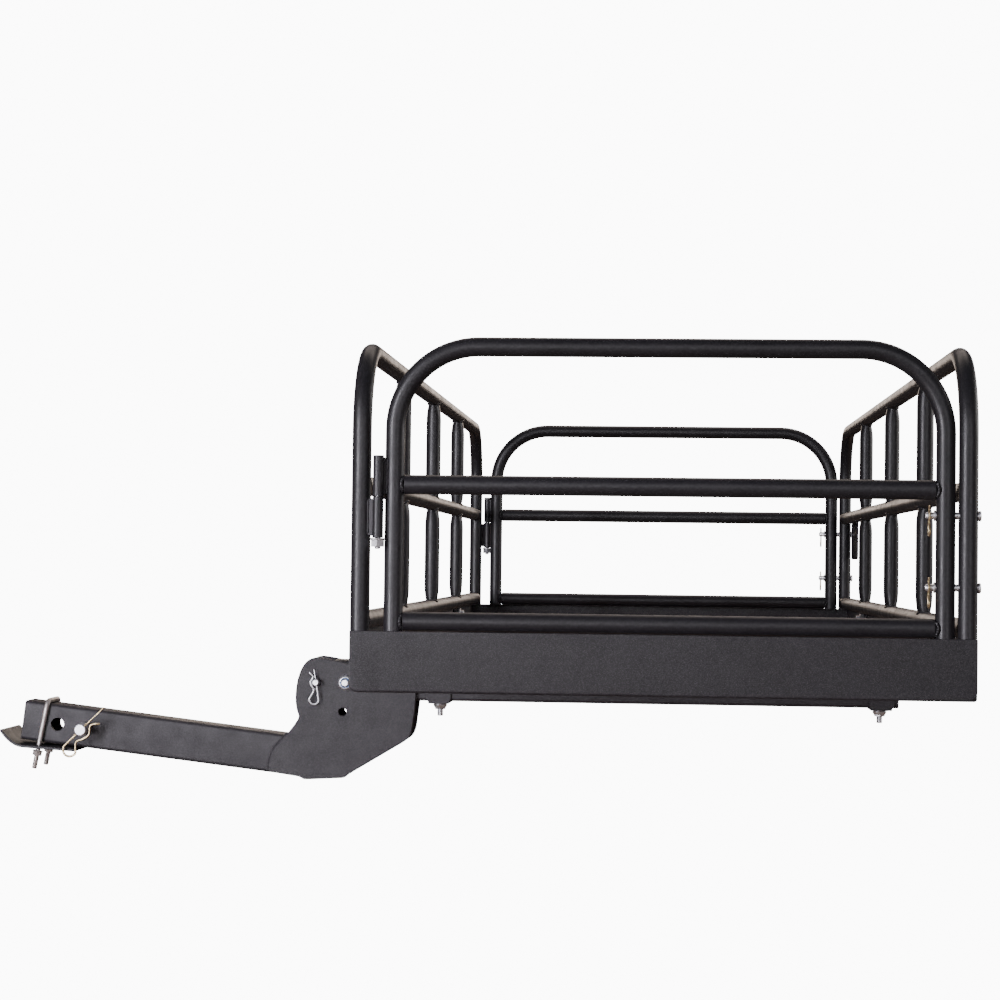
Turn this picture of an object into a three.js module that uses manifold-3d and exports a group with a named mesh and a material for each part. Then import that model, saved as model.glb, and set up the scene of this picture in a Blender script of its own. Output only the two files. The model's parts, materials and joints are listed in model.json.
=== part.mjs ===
// Folding hitch cargo carrier: a tilted shank with bracket plates, a beam that folds up on them,
// and a tray with tube sides and two swinging end gates.
// Millimetres. +X points away from the vehicle, +Y across it, +Z up.
// The origin is the centre of the shank on the hitch pin's axis.
import * as THREE from 'three';
import { mergeVertices } from 'three/addons/utils/BufferGeometryUtils.js';
import Module from 'manifold-3d';

const wasm = await Module();
wasm.setup();

// ---------- driving dimensions ----------
const GAP = 0.3; // clearance between pieces that are welded or bolted together

// Square tube of the shank and the beam
const SQUARE = 50.8;
const SQUARE_WALL = 4;
const SQUARE_CORNER = 5.5;
const SHANK_TILT = THREE.MathUtils.degToRad(6.5); // the shank falls towards the tray
const SHANK_FRONT = -84;
const SHANK_BACK = 290;
const HITCH_HOLE = 8.6; // radius
const HITCH_PIN = 7.9; // radius
const SPARE_HOLE_X = -38.1;

// Anti-rattle clamp at the shank's tip
const U_BOLT_X = -57;
const U_BOLT = 3.2; // radius
const U_BOLT_LEAN = THREE.MathUtils.degToRad(4); // it leans back at its crown
const U_BOLT_MIDDLE = -17; // height of the point about which it leans
const RATTLE_X = SHANK_FRONT + 3;
const RATTLE_WIDTH = 92;
const RATTLE_THICK = 3.5;
const RATTLE_FLAT = 77;
const RATTLE_LIP = [[14, 28], [17, 46]]; // lengths and slopes, in degrees, of its two folds
const RATTLE_TURN = THREE.MathUtils.degToRad(3.2); // the plate's own slope against the shank

// Tray
const RIM_X0 = 438.2;
const TRAY_DEPTH = 610;
const TRAY_WIDTH = 1524;
const RIM_BOTTOM = 93.7;
const RIM_HEIGHT = 60;
const RIM_WALL = 2.5;
const RIM_FLANGE = 30;
const FLOOR_THICK = 1.5; // a closed sheet as heavy as the expanded metal it stands for
const BAR_WIDTH = 25;
const BAR_HEIGHT = 12;
const BAR_Y = 381;

// Beam and its fold
const BEAM_X0 = 287;
const TAIL_CUT = 13; // the slanting cut at the top of the beam's tail
const PIVOT_X = 340.5;
const PIVOT_DROP = 3; // how far the pivot lies below the beam's middle
const PIVOT = 5; // radius of the pivot bolt
const LOCK_RADIUS = 38.1; // from the pivot to the lock holes
const LOCK_PIN = 4.76; // radius
const FOLD_ANGLE = 84; // degrees between the two lock holes
const PLATE_THICK = 6;
const PLATE_INNER = SQUARE / 2 + 0.6;

// Round tube of the sides and gates
const TUBE = 9.525; // outer radius
const TUBE_BORE = 8.025; // inner radius
const BEND = 82; // centre-line radius
const POST_X = 296.4; // side posts, from the tray's centre
const POST_Y = 750;
const TOP_RAIL = 281.1; // heights above the rim
const MID_RAIL = 144.7;
const BOTTOM_RAIL = 9.925;
const GATE_POST_HINGE = -263.4; // from the tray's centre
const GATE_POST_LATCH = 274.6;
const SPINDLE_Y = [-375, 0, 375];
const SPINDLE_NECK = 6.75; // radius at the pinched ends
const SPINDLE_TAPER = 30;

// Hinges and latches
const HINGE_X = -278.7; // from the tray's centre
const HINGE_OUT = 9; // how far the hinge's axis stands outside the posts' plane
const KNUCKLE = 5.3; // radius
const HINGE_PIN = 3; // radius
const KNUCKLE_LENGTH = 40.4;
const HINGE_SPLIT = 132.2; // height above the rim where the two knuckles meet
const LATCH_HEIGHTS = { upper: 119.7, lower: 49.8 };
const LATCH_PIN = 3.5; // radius
const LATCH_SPLIT = TUBE + 1.225; // from a post to the latch pin's parting, in the gap between the posts
const LATCH_HOLE = 4; // radius
const CLIP_REACH = 6.3; // from the gate's post to the latch clips
const RAIL_BOLT_Y = 415;
const BOLT = 4; // radius of the M8 bolts
const HITCH_CLIP_TURN = THREE.MathUtils.degToRad(39); // how the hairpin clips hang, about Y
const LOCK_CLIP_TURN = THREE.MathUtils.degToRad(-9.5);

// ---------- derived places ----------
const TRAY_X = RIM_X0 + TRAY_DEPTH / 2;
const RIM_TOP = RIM_BOTTOM + RIM_HEIGHT;
const RIM_X1 = RIM_X0 + TRAY_DEPTH;
const RIM_Y = TRAY_WIDTH / 2;
const FLANGE_TOP = RIM_BOTTOM + RIM_WALL;
const U_BOLT_LEG = SQUARE / 2 + U_BOLT + 2 * GAP; // from the shank's middle, across
const U_BOLT_FOOT = -SQUARE / 2 - 35;
const BEAM_Z = RIM_BOTTOM - GAP - SQUARE / 2;
const PIVOT_Z = BEAM_Z - PIVOT_DROP;
const TAB_BOLT_Z = RIM_TOP - 7;
const LOCK_X = PIVOT_X - LOCK_RADIUS;
const CLAMP_X = { front: TRAY_X - 283, rear: TRAY_X + 283 };
const POST_FOOT = RIM_TOP + GAP;
const GATE_FOOT = RIM_TOP + 0.6;
const TOP_Z = RIM_TOP + TOP_RAIL;
const MID_Z = RIM_TOP + MID_RAIL;
const BOTTOM_Z = RIM_TOP + BOTTOM_RAIL;
const SIDES = { front: -1, rear: 1 };
const ENDS = { near: -1, far: 1 };

// ---------- materials ----------
function finish(color, roughness, metalness) {
  return () => new THREE.MeshStandardMaterial({ color, roughness, metalness });
}
const black = finish(0x2e2d30, 0.55, 0.25);
const zinc = finish(0xc9ccd0, 0.3, 0.9);
const yellowZinc = finish(0xcbb682, 0.35, 0.9);

// ---------- shape helpers ----------
const AXES = { x: new THREE.Vector3(1, 0, 0), y: new THREE.Vector3(0, 1, 0), z: new THREE.Vector3(0, 0, 1) };

function toSolid(geometry) {
  const bare = geometry.clone();
  bare.deleteAttribute('normal');
  bare.deleteAttribute('uv');
  const merged = mergeVertices(bare, 1e-4);
  const vertProperties = new Float32Array(merged.attributes.position.array);
  const triVerts = new Uint32Array(merged.index.array);
  return new wasm.Manifold(new wasm.Mesh({ numProp: 3, vertProperties, triVerts }));
}

function toGeometry(solid) {
  const mesh = solid.getMesh();
  const geometry = new THREE.BufferGeometry();
  geometry.setAttribute('position', new THREE.BufferAttribute(mesh.vertProperties, 3));
  geometry.setIndex(new THREE.BufferAttribute(mesh.triVerts, 1));
  geometry.computeVertexNormals();
  return geometry;
}

function cut(geometry, ...tools) {
  return toGeometry(tools.reduce((solid, tool) => solid.subtract(toSolid(tool)), toSolid(geometry)));
}

function join(geometry, ...others) {
  return toGeometry(others.reduce((solid, other) => solid.add(toSolid(other)), toSolid(geometry)));
}

// A round rod or a prism of few sides along an axis, centred on `at`.
function rod(radius, length, axis, at = [0, 0, 0], sides = 16) {
  const geometry = new THREE.CylinderGeometry(radius, radius, length, sides);
  geometry.applyQuaternion(new THREE.Quaternion().setFromUnitVectors(AXES.y, AXES[axis]));
  return geometry.translate(...at);
}

function box(low, high) {
  const size = high.map((value, i) => value - low[i]);
  const centre = high.map((value, i) => (value + low[i]) / 2);
  return new THREE.BoxGeometry(...size).translate(...centre);
}

// A turned piece: [radius, height] pairs round the given axis.
function turned(profile, axis, sides = 16) {
  const points = profile.map(([radius, height]) => new THREE.Vector2(radius, height));
  const geometry = new THREE.LatheGeometry(points, sides);
  return geometry.applyQuaternion(new THREE.Quaternion().setFromUnitVectors(AXES.y, AXES[axis]));
}

// An outline of [x, z] points, extruded along Y from y0 to y1, with round holes of [x, z, radius].
function plate(outline, y0, y1, holes = []) {
  const shape = new THREE.Shape(outline.map(([x, z]) => new THREE.Vector2(x, z)));
  shape.holes = holes.map(([x, z, radius]) => new THREE.Path(ring(radius, 16, [x, z])));
  const geometry = new THREE.ExtrudeGeometry(shape, { depth: y1 - y0, bevelEnabled: false });
  return geometry.rotateX(Math.PI / 2).translate(0, y1, 0);
}

function ring(radius, sides, centre = [0, 0]) {
  return Array.from({ length: sides }, (_, i) => {
    const angle = (i / sides) * Math.PI * 2;
    return new THREE.Vector2(centre[0] + radius * Math.cos(angle), centre[1] + radius * Math.sin(angle));
  });
}

function roundSection(radius, bore = 0, sides = 12) {
  const shape = new THREE.Shape(ring(radius, sides));
  if (bore) {
    shape.holes = [new THREE.Path(ring(bore, sides - 4))];
  }
  return shape;
}

// A path that gives one section at each of its stations, straight between them.
class StationPath extends THREE.Curve {
  constructor(stations) {
    super();
    this.stations = stations;
  }

  getPointAt(u) {
    return this.stations[Math.round(u * (this.stations.length - 1))].clone();
  }

  getTangentAt(u) {
    const i = Math.round(u * (this.stations.length - 1));
    const before = this.stations[Math.max(i - 1, 0)];
    const after = this.stations[Math.min(i + 1, this.stations.length - 1)];
    return after.clone().sub(before).normalize();
  }
}

function sweep(section, stations) {
  const extrudePath = new StationPath(stations);
  return new THREE.ExtrudeGeometry(section, { steps: stations.length - 1, extrudePath, bevelEnabled: false });
}

// Points of a round bend in a plane, from one angle to another.
function bend(centre, radius, from, to, place, steps) {
  return Array.from({ length: steps + 1 }, (_, i) => {
    const angle = from + ((to - from) * i) / steps;
    return place(centre[0] + radius * Math.cos(angle), centre[1] + radius * Math.sin(angle));
  });
}

// An upside-down U of tube: two posts, two bends and the top rail, in the plane that `place` gives.
function hoop(left, right, foot, place) {
  const shoulder = TOP_Z - BEND;
  return sweep(roundSection(TUBE, TUBE_BORE), [
    place(left, foot),
    ...bend([left + BEND, shoulder], BEND, Math.PI, Math.PI / 2, place, 6),
    ...bend([right - BEND, shoulder], BEND, Math.PI / 2, 0, place, 6),
    place(right, foot),
  ]);
}

// A rail between two upright posts, cut square where it meets their sides.
function straightRail(from, to) {
  const reach = to.clone().sub(from).setLength(TUBE + GAP);
  return sweep(roundSection(TUBE, TUBE_BORE), [from.clone().add(reach), to.clone().sub(reach)]);
}

// A flange nut, its flange at zero and its hexagon towards the axis' positive side.
function flangeNut(across, height, flange, bore) {
  const radius = across / Math.sqrt(3);
  const flangeThick = 2;
  const disc = rod(flange, flangeThick, 'z', [0, 0, flangeThick / 2], 14);
  const hexagon = rod(radius, height - flangeThick + 1, 'z', [0, 0, (height + flangeThick - 1) / 2], 6);
  return cut(join(disc, hexagon), rod(bore, height * 3, 'z', [0, 0, 0], 12));
}

// A hairpin clip of spring wire in the X-Z plane. Its straight leg runs through the pin at the
// origin, down to the eye. Its waved leg comes back up round the pin and flares out at its tip.
function hairpin({ pin, wire, top, shaft, eye }) {
  const at = (x, z) => new THREE.Vector3(x, 0, z);
  const neck = Math.max(0.6 * pin, 2 * wire + 2 * GAP);
  return sweep(roundSection(wire, 0, 6), [
    at(0, top),
    ...bend([eye, -shaft], eye, Math.PI, Math.PI * 2.12, at, 7),
    at(0.92 * pin, -2.05 * pin),
    at(1.35 * pin, -0.8 * pin),
    at(1.52 * pin, 0.4 * pin),
    at(neck, 1.65 * pin),
    at(1.46 * pin, 2.9 * pin),
  ]);
}

// ---------- scene graph ----------
const carrier = new THREE.Group();

function add(parent, name, geometry, material) {
  const mesh = new THREE.Mesh(geometry, material());
  mesh.name = name;
  parent.add(mesh);
  return mesh;
}

// ---------- shank and anti-rattle clamp, in the shank's tilted frame ----------
const shank = new THREE.Group();
shank.rotation.y = SHANK_TILT;
carrier.add(shank);

// Points of a square of the given half width, its corners rounded.
function roundedSquare(half, radius) {
  const inner = half - radius;
  const place = (y, z) => new THREE.Vector2(y, z);
  return [[1, 1], [-1, 1], [-1, -1], [1, -1]].flatMap(([y, z], corner) => {
    const from = (corner * Math.PI) / 2;
    return bend([y * inner, z * inner], radius, from, from + Math.PI / 2, place, 3);
  });
}

function squareTube(x0, x1) {
  const section = new THREE.Shape(roundedSquare(SQUARE / 2, SQUARE_CORNER));
  section.holes = [new THREE.Path(roundedSquare(SQUARE / 2 - SQUARE_WALL, SQUARE_CORNER - SQUARE_WALL))];
  return sweep(section, [new THREE.Vector3(x0, 0, 0), new THREE.Vector3(x1, 0, 0)]);
}

function shankTube() {
  const holes = [0, SPARE_HOLE_X].map((x) => rod(HITCH_HOLE, SQUARE * 2, 'y', [x, 0, 0], 16));
  return cut(squareTube(SHANK_FRONT, SHANK_BACK), ...holes);
}

const rattleFrame = new THREE.Group();
rattleFrame.position.set(RATTLE_X, 0, -SQUARE / 2 - 5.3);
rattleFrame.rotation.y = -RATTLE_TURN;
shank.add(rattleFrame);

// The sheet's outline below a line of [x, z] points that runs towards -X.
function thicken(line, thickness) {
  const points = line.map(([x, z]) => new THREE.Vector2(x, z));
  const under = points.map((point, i) => {
    const before = point.clone().sub(points[Math.max(i - 1, 0)]).normalize();
    const after = points[Math.min(i + 1, points.length - 1)].clone().sub(point).normalize();
    const along = before.add(after).normalize();
    const normal = new THREE.Vector2(-along.y, along.x);
    const half = after.length() ? Math.max(0.5, Math.abs(along.dot(after))) : 1;
    return point.clone().addScaledVector(normal, thickness / half).toArray();
  });
  return [...line, ...under.reverse()];
}

// The flat part runs back from the bend at the origin, and the lip rises forward in two folds.
function antiRattlePlate() {
  const line = [[RATTLE_FLAT, 0], [0, 0]];
  for (const [length, degrees] of RATTLE_LIP) {
    const slope = THREE.MathUtils.degToRad(degrees);
    const [x, z] = line.at(-1);
    line.push([x - length * Math.cos(slope), z + length * Math.sin(slope)]);
  }
  const solid = plate(thicken(line, RATTLE_THICK), -RATTLE_WIDTH / 2, RATTLE_WIDTH / 2);
  const x = U_BOLT_X - RATTLE_X - 1.1;
  const legHole = (side) => rod(U_BOLT + 1.2, RATTLE_THICK * 8, 'z', [x, side * U_BOLT_LEG, 0], 14);
  return cut(solid, legHole(-1), legHole(1));
}

// The U-bolt's own frame, at the point about which it leans.
const uBoltFrame = new THREE.Group();
uBoltFrame.position.set(U_BOLT_X, 0, U_BOLT_MIDDLE);
uBoltFrame.rotation.y = U_BOLT_LEAN;
shank.add(uBoltFrame);
const U_BOLT_SEAT = -19.5; // where its nuts' flanges stand, in its own frame

function uBolt() {
  const corner = 9;
  const place = (y, z) => new THREE.Vector3(0, y, z);
  const inner = U_BOLT_LEG - corner;
  const crown = inner - U_BOLT_MIDDLE;
  return sweep(roundSection(U_BOLT, 0, 10), [
    place(-U_BOLT_LEG, U_BOLT_FOOT - U_BOLT_MIDDLE),
    ...bend([-inner, crown], corner, Math.PI, Math.PI / 2, place, 4),
    ...bend([inner, crown], corner, Math.PI / 2, 0, place, 4),
    place(U_BOLT_LEG, U_BOLT_FOOT - U_BOLT_MIDDLE),
  ]);
}

// A bent hitch pin: its handle lies back along the shank's far side.
function hitchPin() {
  const place = (x, y) => new THREE.Vector3(x, y, 0);
  const tip = -60;
  const turn = 44;
  const radius = 14;
  const straight = sweep(roundSection(HITCH_PIN, 0, 14), [
    place(0, tip),
    ...bend([radius, turn], radius, Math.PI, Math.PI / 2, place, 5),
    place(58, turn + radius),
  ]);
  const clipHole = rod(1.9, HITCH_PIN * 4, 'z', [0, tip + 8, 0], 8).rotateY(HITCH_CLIP_TURN);
  return cut(straight, clipHole);
}

add(shank, 'shank_tube', shankTube(), black);
add(rattleFrame, 'anti_rattle_plate', antiRattlePlate(), black);
add(uBoltFrame, 'u_bolt', uBolt(), zinc);
for (const [end, side] of Object.entries(ENDS)) {
  const piece = add(uBoltFrame, `u_bolt_nut_${end}`, flangeNut(10.5, 6.5, 6.6, U_BOLT + GAP), zinc);
  piece.position.set(0, side * U_BOLT_LEG, U_BOLT_SEAT);
  piece.rotation.x = Math.PI;
}
add(shank, 'hitch_pin', hitchPin(), zinc);
const hitchClip = hairpin({ pin: HITCH_PIN, wire: 1.5, top: 41, shaft: 29, eye: 8.5 });
add(shank, 'hitch_pin_clip', hitchClip.rotateY(HITCH_CLIP_TURN), yellowZinc).position.y = -52;

// ---------- bracket plates, lock pin and pivot ----------
const FOLD_HOLE = THREE.MathUtils.degToRad(FOLD_ANGLE);

// The plate's edges: its foot follows the shank, its head follows the beam.
const BRACKET_OUTLINE = [
  [275, 40], [275, 51], [277, 67], [281.5, 81], [287, 90], [294, 95.4], [302, 97], [312, 95.8], [345, 89.3],
  [420, 79],
  [428, 76], [431.5, 68], [431.5, 52], [430.5, 36], [426.5, 4], [423, -4.5], [418.5, -9], [345, -53.5],
  [340.5, -58], [287, -61], [282.5, -57.5], [240.5, -51.5], [242, -36], [247, -22], [266, -1], [275, 11],
  [280.5, 20], [277, 27.5],
];

function bracketPlate(side) {
  const inner = side * PLATE_INNER;
  const outer = side * (PLATE_INNER + PLATE_THICK);
  const foldX = PIVOT_X - LOCK_RADIUS * Math.cos(FOLD_HOLE);
  const foldZ = PIVOT_Z - LOCK_RADIUS * Math.sin(FOLD_HOLE);
  const holes = [
    [PIVOT_X, PIVOT_Z, PIVOT + 0.4],
    [LOCK_X, PIVOT_Z, LOCK_PIN + 0.4],
    [foldX, foldZ, LOCK_PIN + 0.4],
  ];
  return plate(BRACKET_OUTLINE, Math.min(inner, outer), Math.max(inner, outer), holes);
}

const OUTER = PLATE_INNER + PLATE_THICK + GAP;

function lockPin() {
  const tip = 12;
  const pin = turned([
    [0, -OUTER - tip], [LOCK_PIN - 1.5, -OUTER - tip], [LOCK_PIN, -OUTER - tip + 2],
    [LOCK_PIN, OUTER], [LOCK_PIN + 4, OUTER], [LOCK_PIN + 4, OUTER + 4], [0, OUTER + 5],
  ], 'y', 14);
  const clipHole = rod(1.5, LOCK_PIN * 4, 'z', [0, -OUTER - tip / 2, 0], 8).rotateY(LOCK_CLIP_TURN);
  return cut(pin, clipHole);
}

function pivotBolt() {
  const shaft = rod(PIVOT, 2 * OUTER + 14, 'y', [0, -6, 0], 14);
  const head = rod(17 / Math.sqrt(3), 6.5, 'y', [0, OUTER + 3.25, 0], 6);
  return join(shaft, head);
}

add(carrier, 'bracket_plate_near', bracketPlate(ENDS.near), black);
add(carrier, 'bracket_plate_far', bracketPlate(ENDS.far), black);
add(carrier, 'lock_pin', lockPin(), zinc).position.set(LOCK_X, 0, PIVOT_Z);
const lockClip = hairpin({ pin: LOCK_PIN, wire: 1.1, top: 17, shaft: 21.5, eye: 6 });
lockClip.rotateZ(Math.PI).rotateY(LOCK_CLIP_TURN).translate(LOCK_X, -OUTER - 6, PIVOT_Z);
add(carrier, 'lock_pin_clip', lockClip, zinc);
add(carrier, 'pivot_bolt', pivotBolt(), zinc).position.set(PIVOT_X, 0, PIVOT_Z);
const pivotNut = add(carrier, 'pivot_nut', flangeNut(17, 10, 9.8, PIVOT + GAP), zinc);
pivotNut.position.set(PIVOT_X, -OUTER, PIVOT_Z);
pivotNut.rotation.x = Math.PI / 2;

// ---------- beam and its clamps ----------
// The tail's slot lets the lock pin pass as the beam folds up: it starts round the pin and
// leaves through the top wall.
function lockSlot() {
  const room = LOCK_PIN + 0.5;
  const place = (x, z) => [x, z];
  const end = Math.PI * 0.62;
  const outline = [
    ...bend([PIVOT_X, PIVOT_Z], LOCK_RADIUS + room, Math.PI, end, place, 6),
    ...bend([PIVOT_X, PIVOT_Z], LOCK_RADIUS - room, end, Math.PI, place, 6),
    ...bend([LOCK_X, PIVOT_Z], room, Math.PI * 2, Math.PI, place, 6).slice(1, -1),
  ];
  return plate(outline, -SQUARE, SQUARE);
}

function mainBeam() {
  const tube = squareTube(BEAM_X0, RIM_X1).translate(0, 0, BEAM_Z);
  const pivotHole = rod(PIVOT + 0.4, SQUARE * 2, 'y', [PIVOT_X, 0, PIVOT_Z], 14);
  const boltHoles = Object.values(CLAMP_X).map((x) => rod(BOLT + 0.5, SQUARE * 2, 'z', [x, 0, BEAM_Z], 12));
  const top = BEAM_Z + SQUARE / 2;
  const corner = [[BEAM_X0 - 1, top - TAIL_CUT], [BEAM_X0 - 1, top + 1], [BEAM_X0 + TAIL_CUT, top + 1]];
  return cut(tube, plate(corner, -SQUARE, SQUARE), pivotHole, lockSlot(), ...boltHoles);
}

const CLAMP_THICK = 3;
const CLAMP_TOP = BEAM_Z - SQUARE / 2 - GAP;

// A channel that holds the beam from below, its lower corners cut off.
function clampPlate() {
  const half = 16;
  const cutOff = 5;
  const width = SQUARE / 2 + GAP;
  const flap = [
    [-half, CLAMP_THICK + 30], [-half, cutOff], [cutOff - half, 0],
    [half - cutOff, 0], [half, cutOff], [half, CLAMP_THICK + 30],
  ];
  const reach = half - cutOff / 2;
  return cut(
    join(
      box([-reach, -width - 1, 0.2], [reach, width + 1, CLAMP_THICK]),
      plate(flap, width, width + CLAMP_THICK),
      plate(flap, -width - CLAMP_THICK, -width),
    ),
    rod(BOLT + 0.5, 40, 'z', [0, 0, 0], 12),
  );
}

// A dome-headed bolt down through the rim's flange, the beam and the strap.
function beamBolt() {
  const top = FLANGE_TOP + GAP;
  const foot = CLAMP_TOP - CLAMP_THICK - 17;
  return turned([[0, foot], [BOLT, foot], [BOLT, top], [9, top], [7, top + 3.5], [0, top + 4.5]], 'z', 12);
}

const tray = new THREE.Group();
carrier.add(tray);

add(tray, 'main_beam', mainBeam(), black);
for (const [side, x] of Object.entries(CLAMP_X)) {
  add(tray, `clamp_plate_${side}`, clampPlate(), black).position.set(x, 0, CLAMP_TOP - CLAMP_THICK);
  add(tray, `beam_bolt_${side}`, beamBolt(), zinc).position.set(x, 0, 0);
  const piece = add(tray, `beam_nut_${side}`, flangeNut(13, 8, 9.4, BOLT + GAP), zinc);
  piece.position.set(x, 0, CLAMP_TOP - CLAMP_THICK - GAP);
  piece.rotation.x = Math.PI;
}

// ---------- tray ----------
// An L section of sheet: the wall stands outside, the flange points in at its foot.
// `inward` is +1 or -1 along X, and the mitred ends leave room for the end rims.
function longRim(side) {
  const outer = side < 0 ? RIM_X0 : RIM_X1;
  const inward = -side;
  const wall = [outer, outer + inward * RIM_WALL].sort((a, b) => a - b);
  const flange = [outer, outer + inward * RIM_FLANGE].sort((a, b) => a - b);
  const reach = RIM_Y - RIM_WALL - GAP;
  const solid = join(
    box([wall[0], -reach, RIM_BOTTOM], [wall[1], reach, RIM_TOP]),
    box([flange[0], -reach, RIM_BOTTOM], [flange[1], reach, FLANGE_TOP]),
  );
  const boltX = side < 0 ? CLAMP_X.front : CLAMP_X.rear;
  const tabHoles = [-RAIL_BOLT_Y, RAIL_BOLT_Y].map(
    (y) => rod(BOLT + 0.5, 40, 'x', [outer, y, TAB_BOLT_Z], 12),
  );
  return cut(solid, rod(BOLT + 0.5, 40, 'z', [boltX, 0, RIM_BOTTOM], 12), ...tabHoles);
}

function endRim(end) {
  const outer = end * RIM_Y;
  const wall = [outer, outer - end * RIM_WALL].sort((a, b) => a - b);
  const flange = [outer, outer - end * RIM_FLANGE].sort((a, b) => a - b);
  const inset = RIM_FLANGE + GAP;
  return join(
    box([RIM_X0, wall[0], RIM_BOTTOM], [RIM_X1, wall[1], RIM_TOP]),
    box([RIM_X0 + inset, flange[0], RIM_BOTTOM], [RIM_X1 - inset, flange[1], FLANGE_TOP]),
  );
}

add(tray, 'rim_front', longRim(SIDES.front), black);
add(tray, 'rim_rear', longRim(SIDES.rear), black);
add(tray, 'rim_near', endRim(ENDS.near), black);
add(tray, 'rim_far', endRim(ENDS.far), black);

// The floor panel lies on the flanges, with two stiffening bars welded under it.
function floorPanel() {
  const inset = RIM_WALL + 1;
  const bottom = FLANGE_TOP + GAP;
  const panel = box(
    [RIM_X0 + inset, -RIM_Y + inset, bottom],
    [RIM_X1 - inset, RIM_Y - inset, bottom + FLOOR_THICK],
  );
  const barInset = RIM_FLANGE + GAP;
  const bars = [-BAR_Y, BAR_Y].map((y) => box(
    [RIM_X0 + barInset, y - BAR_WIDTH / 2, FLANGE_TOP - BAR_HEIGHT],
    [RIM_X1 - barInset, y + BAR_WIDTH / 2, bottom + 1],
  ));
  const boltRoom = Object.values(CLAMP_X).map((x) => rod(10, 40, 'z', [x, 0, bottom], 12));
  return cut(join(panel, ...bars), ...boltRoom);
}

add(tray, 'floor_panel', floorPanel(), black);

// ---------- front and rear sides ----------
function spindle(y, from, to) {
  const neck = from + 8;
  const neckTop = to - 8;
  const wall = TUBE - TUBE_BORE;
  const profile = [
    [SPINDLE_NECK, from], [SPINDLE_NECK, neck], [TUBE, from + SPINDLE_TAPER], [TUBE, to - SPINDLE_TAPER],
    [SPINDLE_NECK, neckTop], [SPINDLE_NECK, to], [SPINDLE_NECK - wall, to], [TUBE_BORE, to - SPINDLE_TAPER],
    [TUBE_BORE, from + SPINDLE_TAPER], [SPINDLE_NECK - wall, from], [SPINDLE_NECK, from],
  ];
  return turned(profile, 'z', 8).translate(0, y, 0);
}

// The middle rail with its spindles welded above and below.
function infill() {
  const end = (y) => new THREE.Vector3(0, y, MID_Z);
  const rail = straightRail(end(-POST_Y), end(POST_Y));
  const embed = TUBE - 1;
  const spindles = SPINDLE_Y.flatMap((y) => [
    spindle(y, BOTTOM_Z + TUBE + GAP, MID_Z - embed),
    spindle(y, MID_Z + embed, TOP_Z - TUBE - GAP),
  ]);
  return join(rail, ...spindles);
}

// The bottom rail has two tabs that hang inside the rim and take its bolts.
function bottomRail(side) {
  const end = (y) => new THREE.Vector3(0, y, BOTTOM_Z);
  const rail = straightRail(end(-POST_Y), end(POST_Y));
  const postX = side * POST_X;
  const face = side * (TRAY_DEPTH / 2 - RIM_WALL - GAP) - postX;
  const [x0, x1] = [face, face - side * 3].sort((a, b) => a - b);
  const tabs = [-RAIL_BOLT_Y, RAIL_BOLT_Y].map((y) => cut(
    box([x0, y - 14, TAB_BOLT_Z - 14], [x1, y + 14, RIM_TOP + 4]),
    rod(BOLT + 0.5, 40, 'x', [0, y, TAB_BOLT_Z], 12),
  ));
  return join(rail, ...tabs);
}

// A bolt from outside the rim, with its nut against the tab inside.
function railBolt() {
  const tabFace = RIM_WALL + GAP + 3 + GAP;
  const bolt = turned([
    [0, -GAP - 4.5], [7, -GAP - 3.5], [9, -GAP], [BOLT, -GAP], [BOLT, tabFace + 12], [0, tabFace + 12],
  ], 'x', 12);
  const nutBody = rod(13 / Math.sqrt(3), 6.5, 'x', [tabFace + 3.25, 0, 0], 6);
  return join(bolt, nutBody);
}

for (const [name, side] of Object.entries(SIDES)) {
  const frame = new THREE.Group();
  frame.position.x = TRAY_X + side * POST_X;
  tray.add(frame);
  const place = (y, z) => new THREE.Vector3(0, y, z);
  const pinHoles = Object.values(LATCH_HEIGHTS).flatMap((height) => Object.values(ENDS).map(
    (end) => rod(LATCH_HOLE, TUBE * 4, 'x', [0, end * POST_Y, RIM_TOP + height], 8),
  ));
  const sideHoop = hoop(-POST_Y, POST_Y, POST_FOOT, place);
  add(frame, `${name}_hoop`, side > 0 ? cut(sideHoop, ...pinHoles) : sideHoop, black);
  add(frame, `${name}_spindles`, infill(), black);
  add(frame, `${name}_bottom_rail`, bottomRail(side), black);
  for (const [end, direction] of Object.entries(ENDS)) {
    const bolt = add(tray, `rail_bolt_${name}_${end}`, railBolt(), zinc);
    bolt.position.set(side < 0 ? RIM_X0 : RIM_X1, direction * RAIL_BOLT_Y, TAB_BOLT_Z);
    bolt.rotation.z = side < 0 ? 0 : Math.PI;
  }
}

// A plate for a licence plate, hung outside the rear side under its middle rail.
function licenceBracket() {
  const radius = 10;
  const [y0, y1, z0, z1] = [640, 744, MID_Z - 65, MID_Z + 2];
  const shape = new THREE.Shape();
  shape.moveTo(y0 + radius, z0);
  shape.lineTo(y1 - radius, z0);
  shape.absarc(y1 - radius, z0 + radius, radius, -Math.PI / 2, 0, false);
  shape.lineTo(y1, z1);
  shape.lineTo(y0, z1);
  shape.lineTo(y0, z0 + radius);
  shape.absarc(y0 + radius, z0 + radius, radius, Math.PI, Math.PI * 1.5, false);
  const geometry = new THREE.ExtrudeGeometry(shape, { depth: 2.5, bevelEnabled: false, curveSegments: 4 });
  const turnUp = new THREE.Matrix4().makeBasis(AXES.y, AXES.z, AXES.x);
  return geometry.applyMatrix4(turnUp);
}

add(tray, 'licence_plate_bracket', licenceBracket(), black).position.x = TRAY_X + POST_X + TUBE + GAP;

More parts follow.
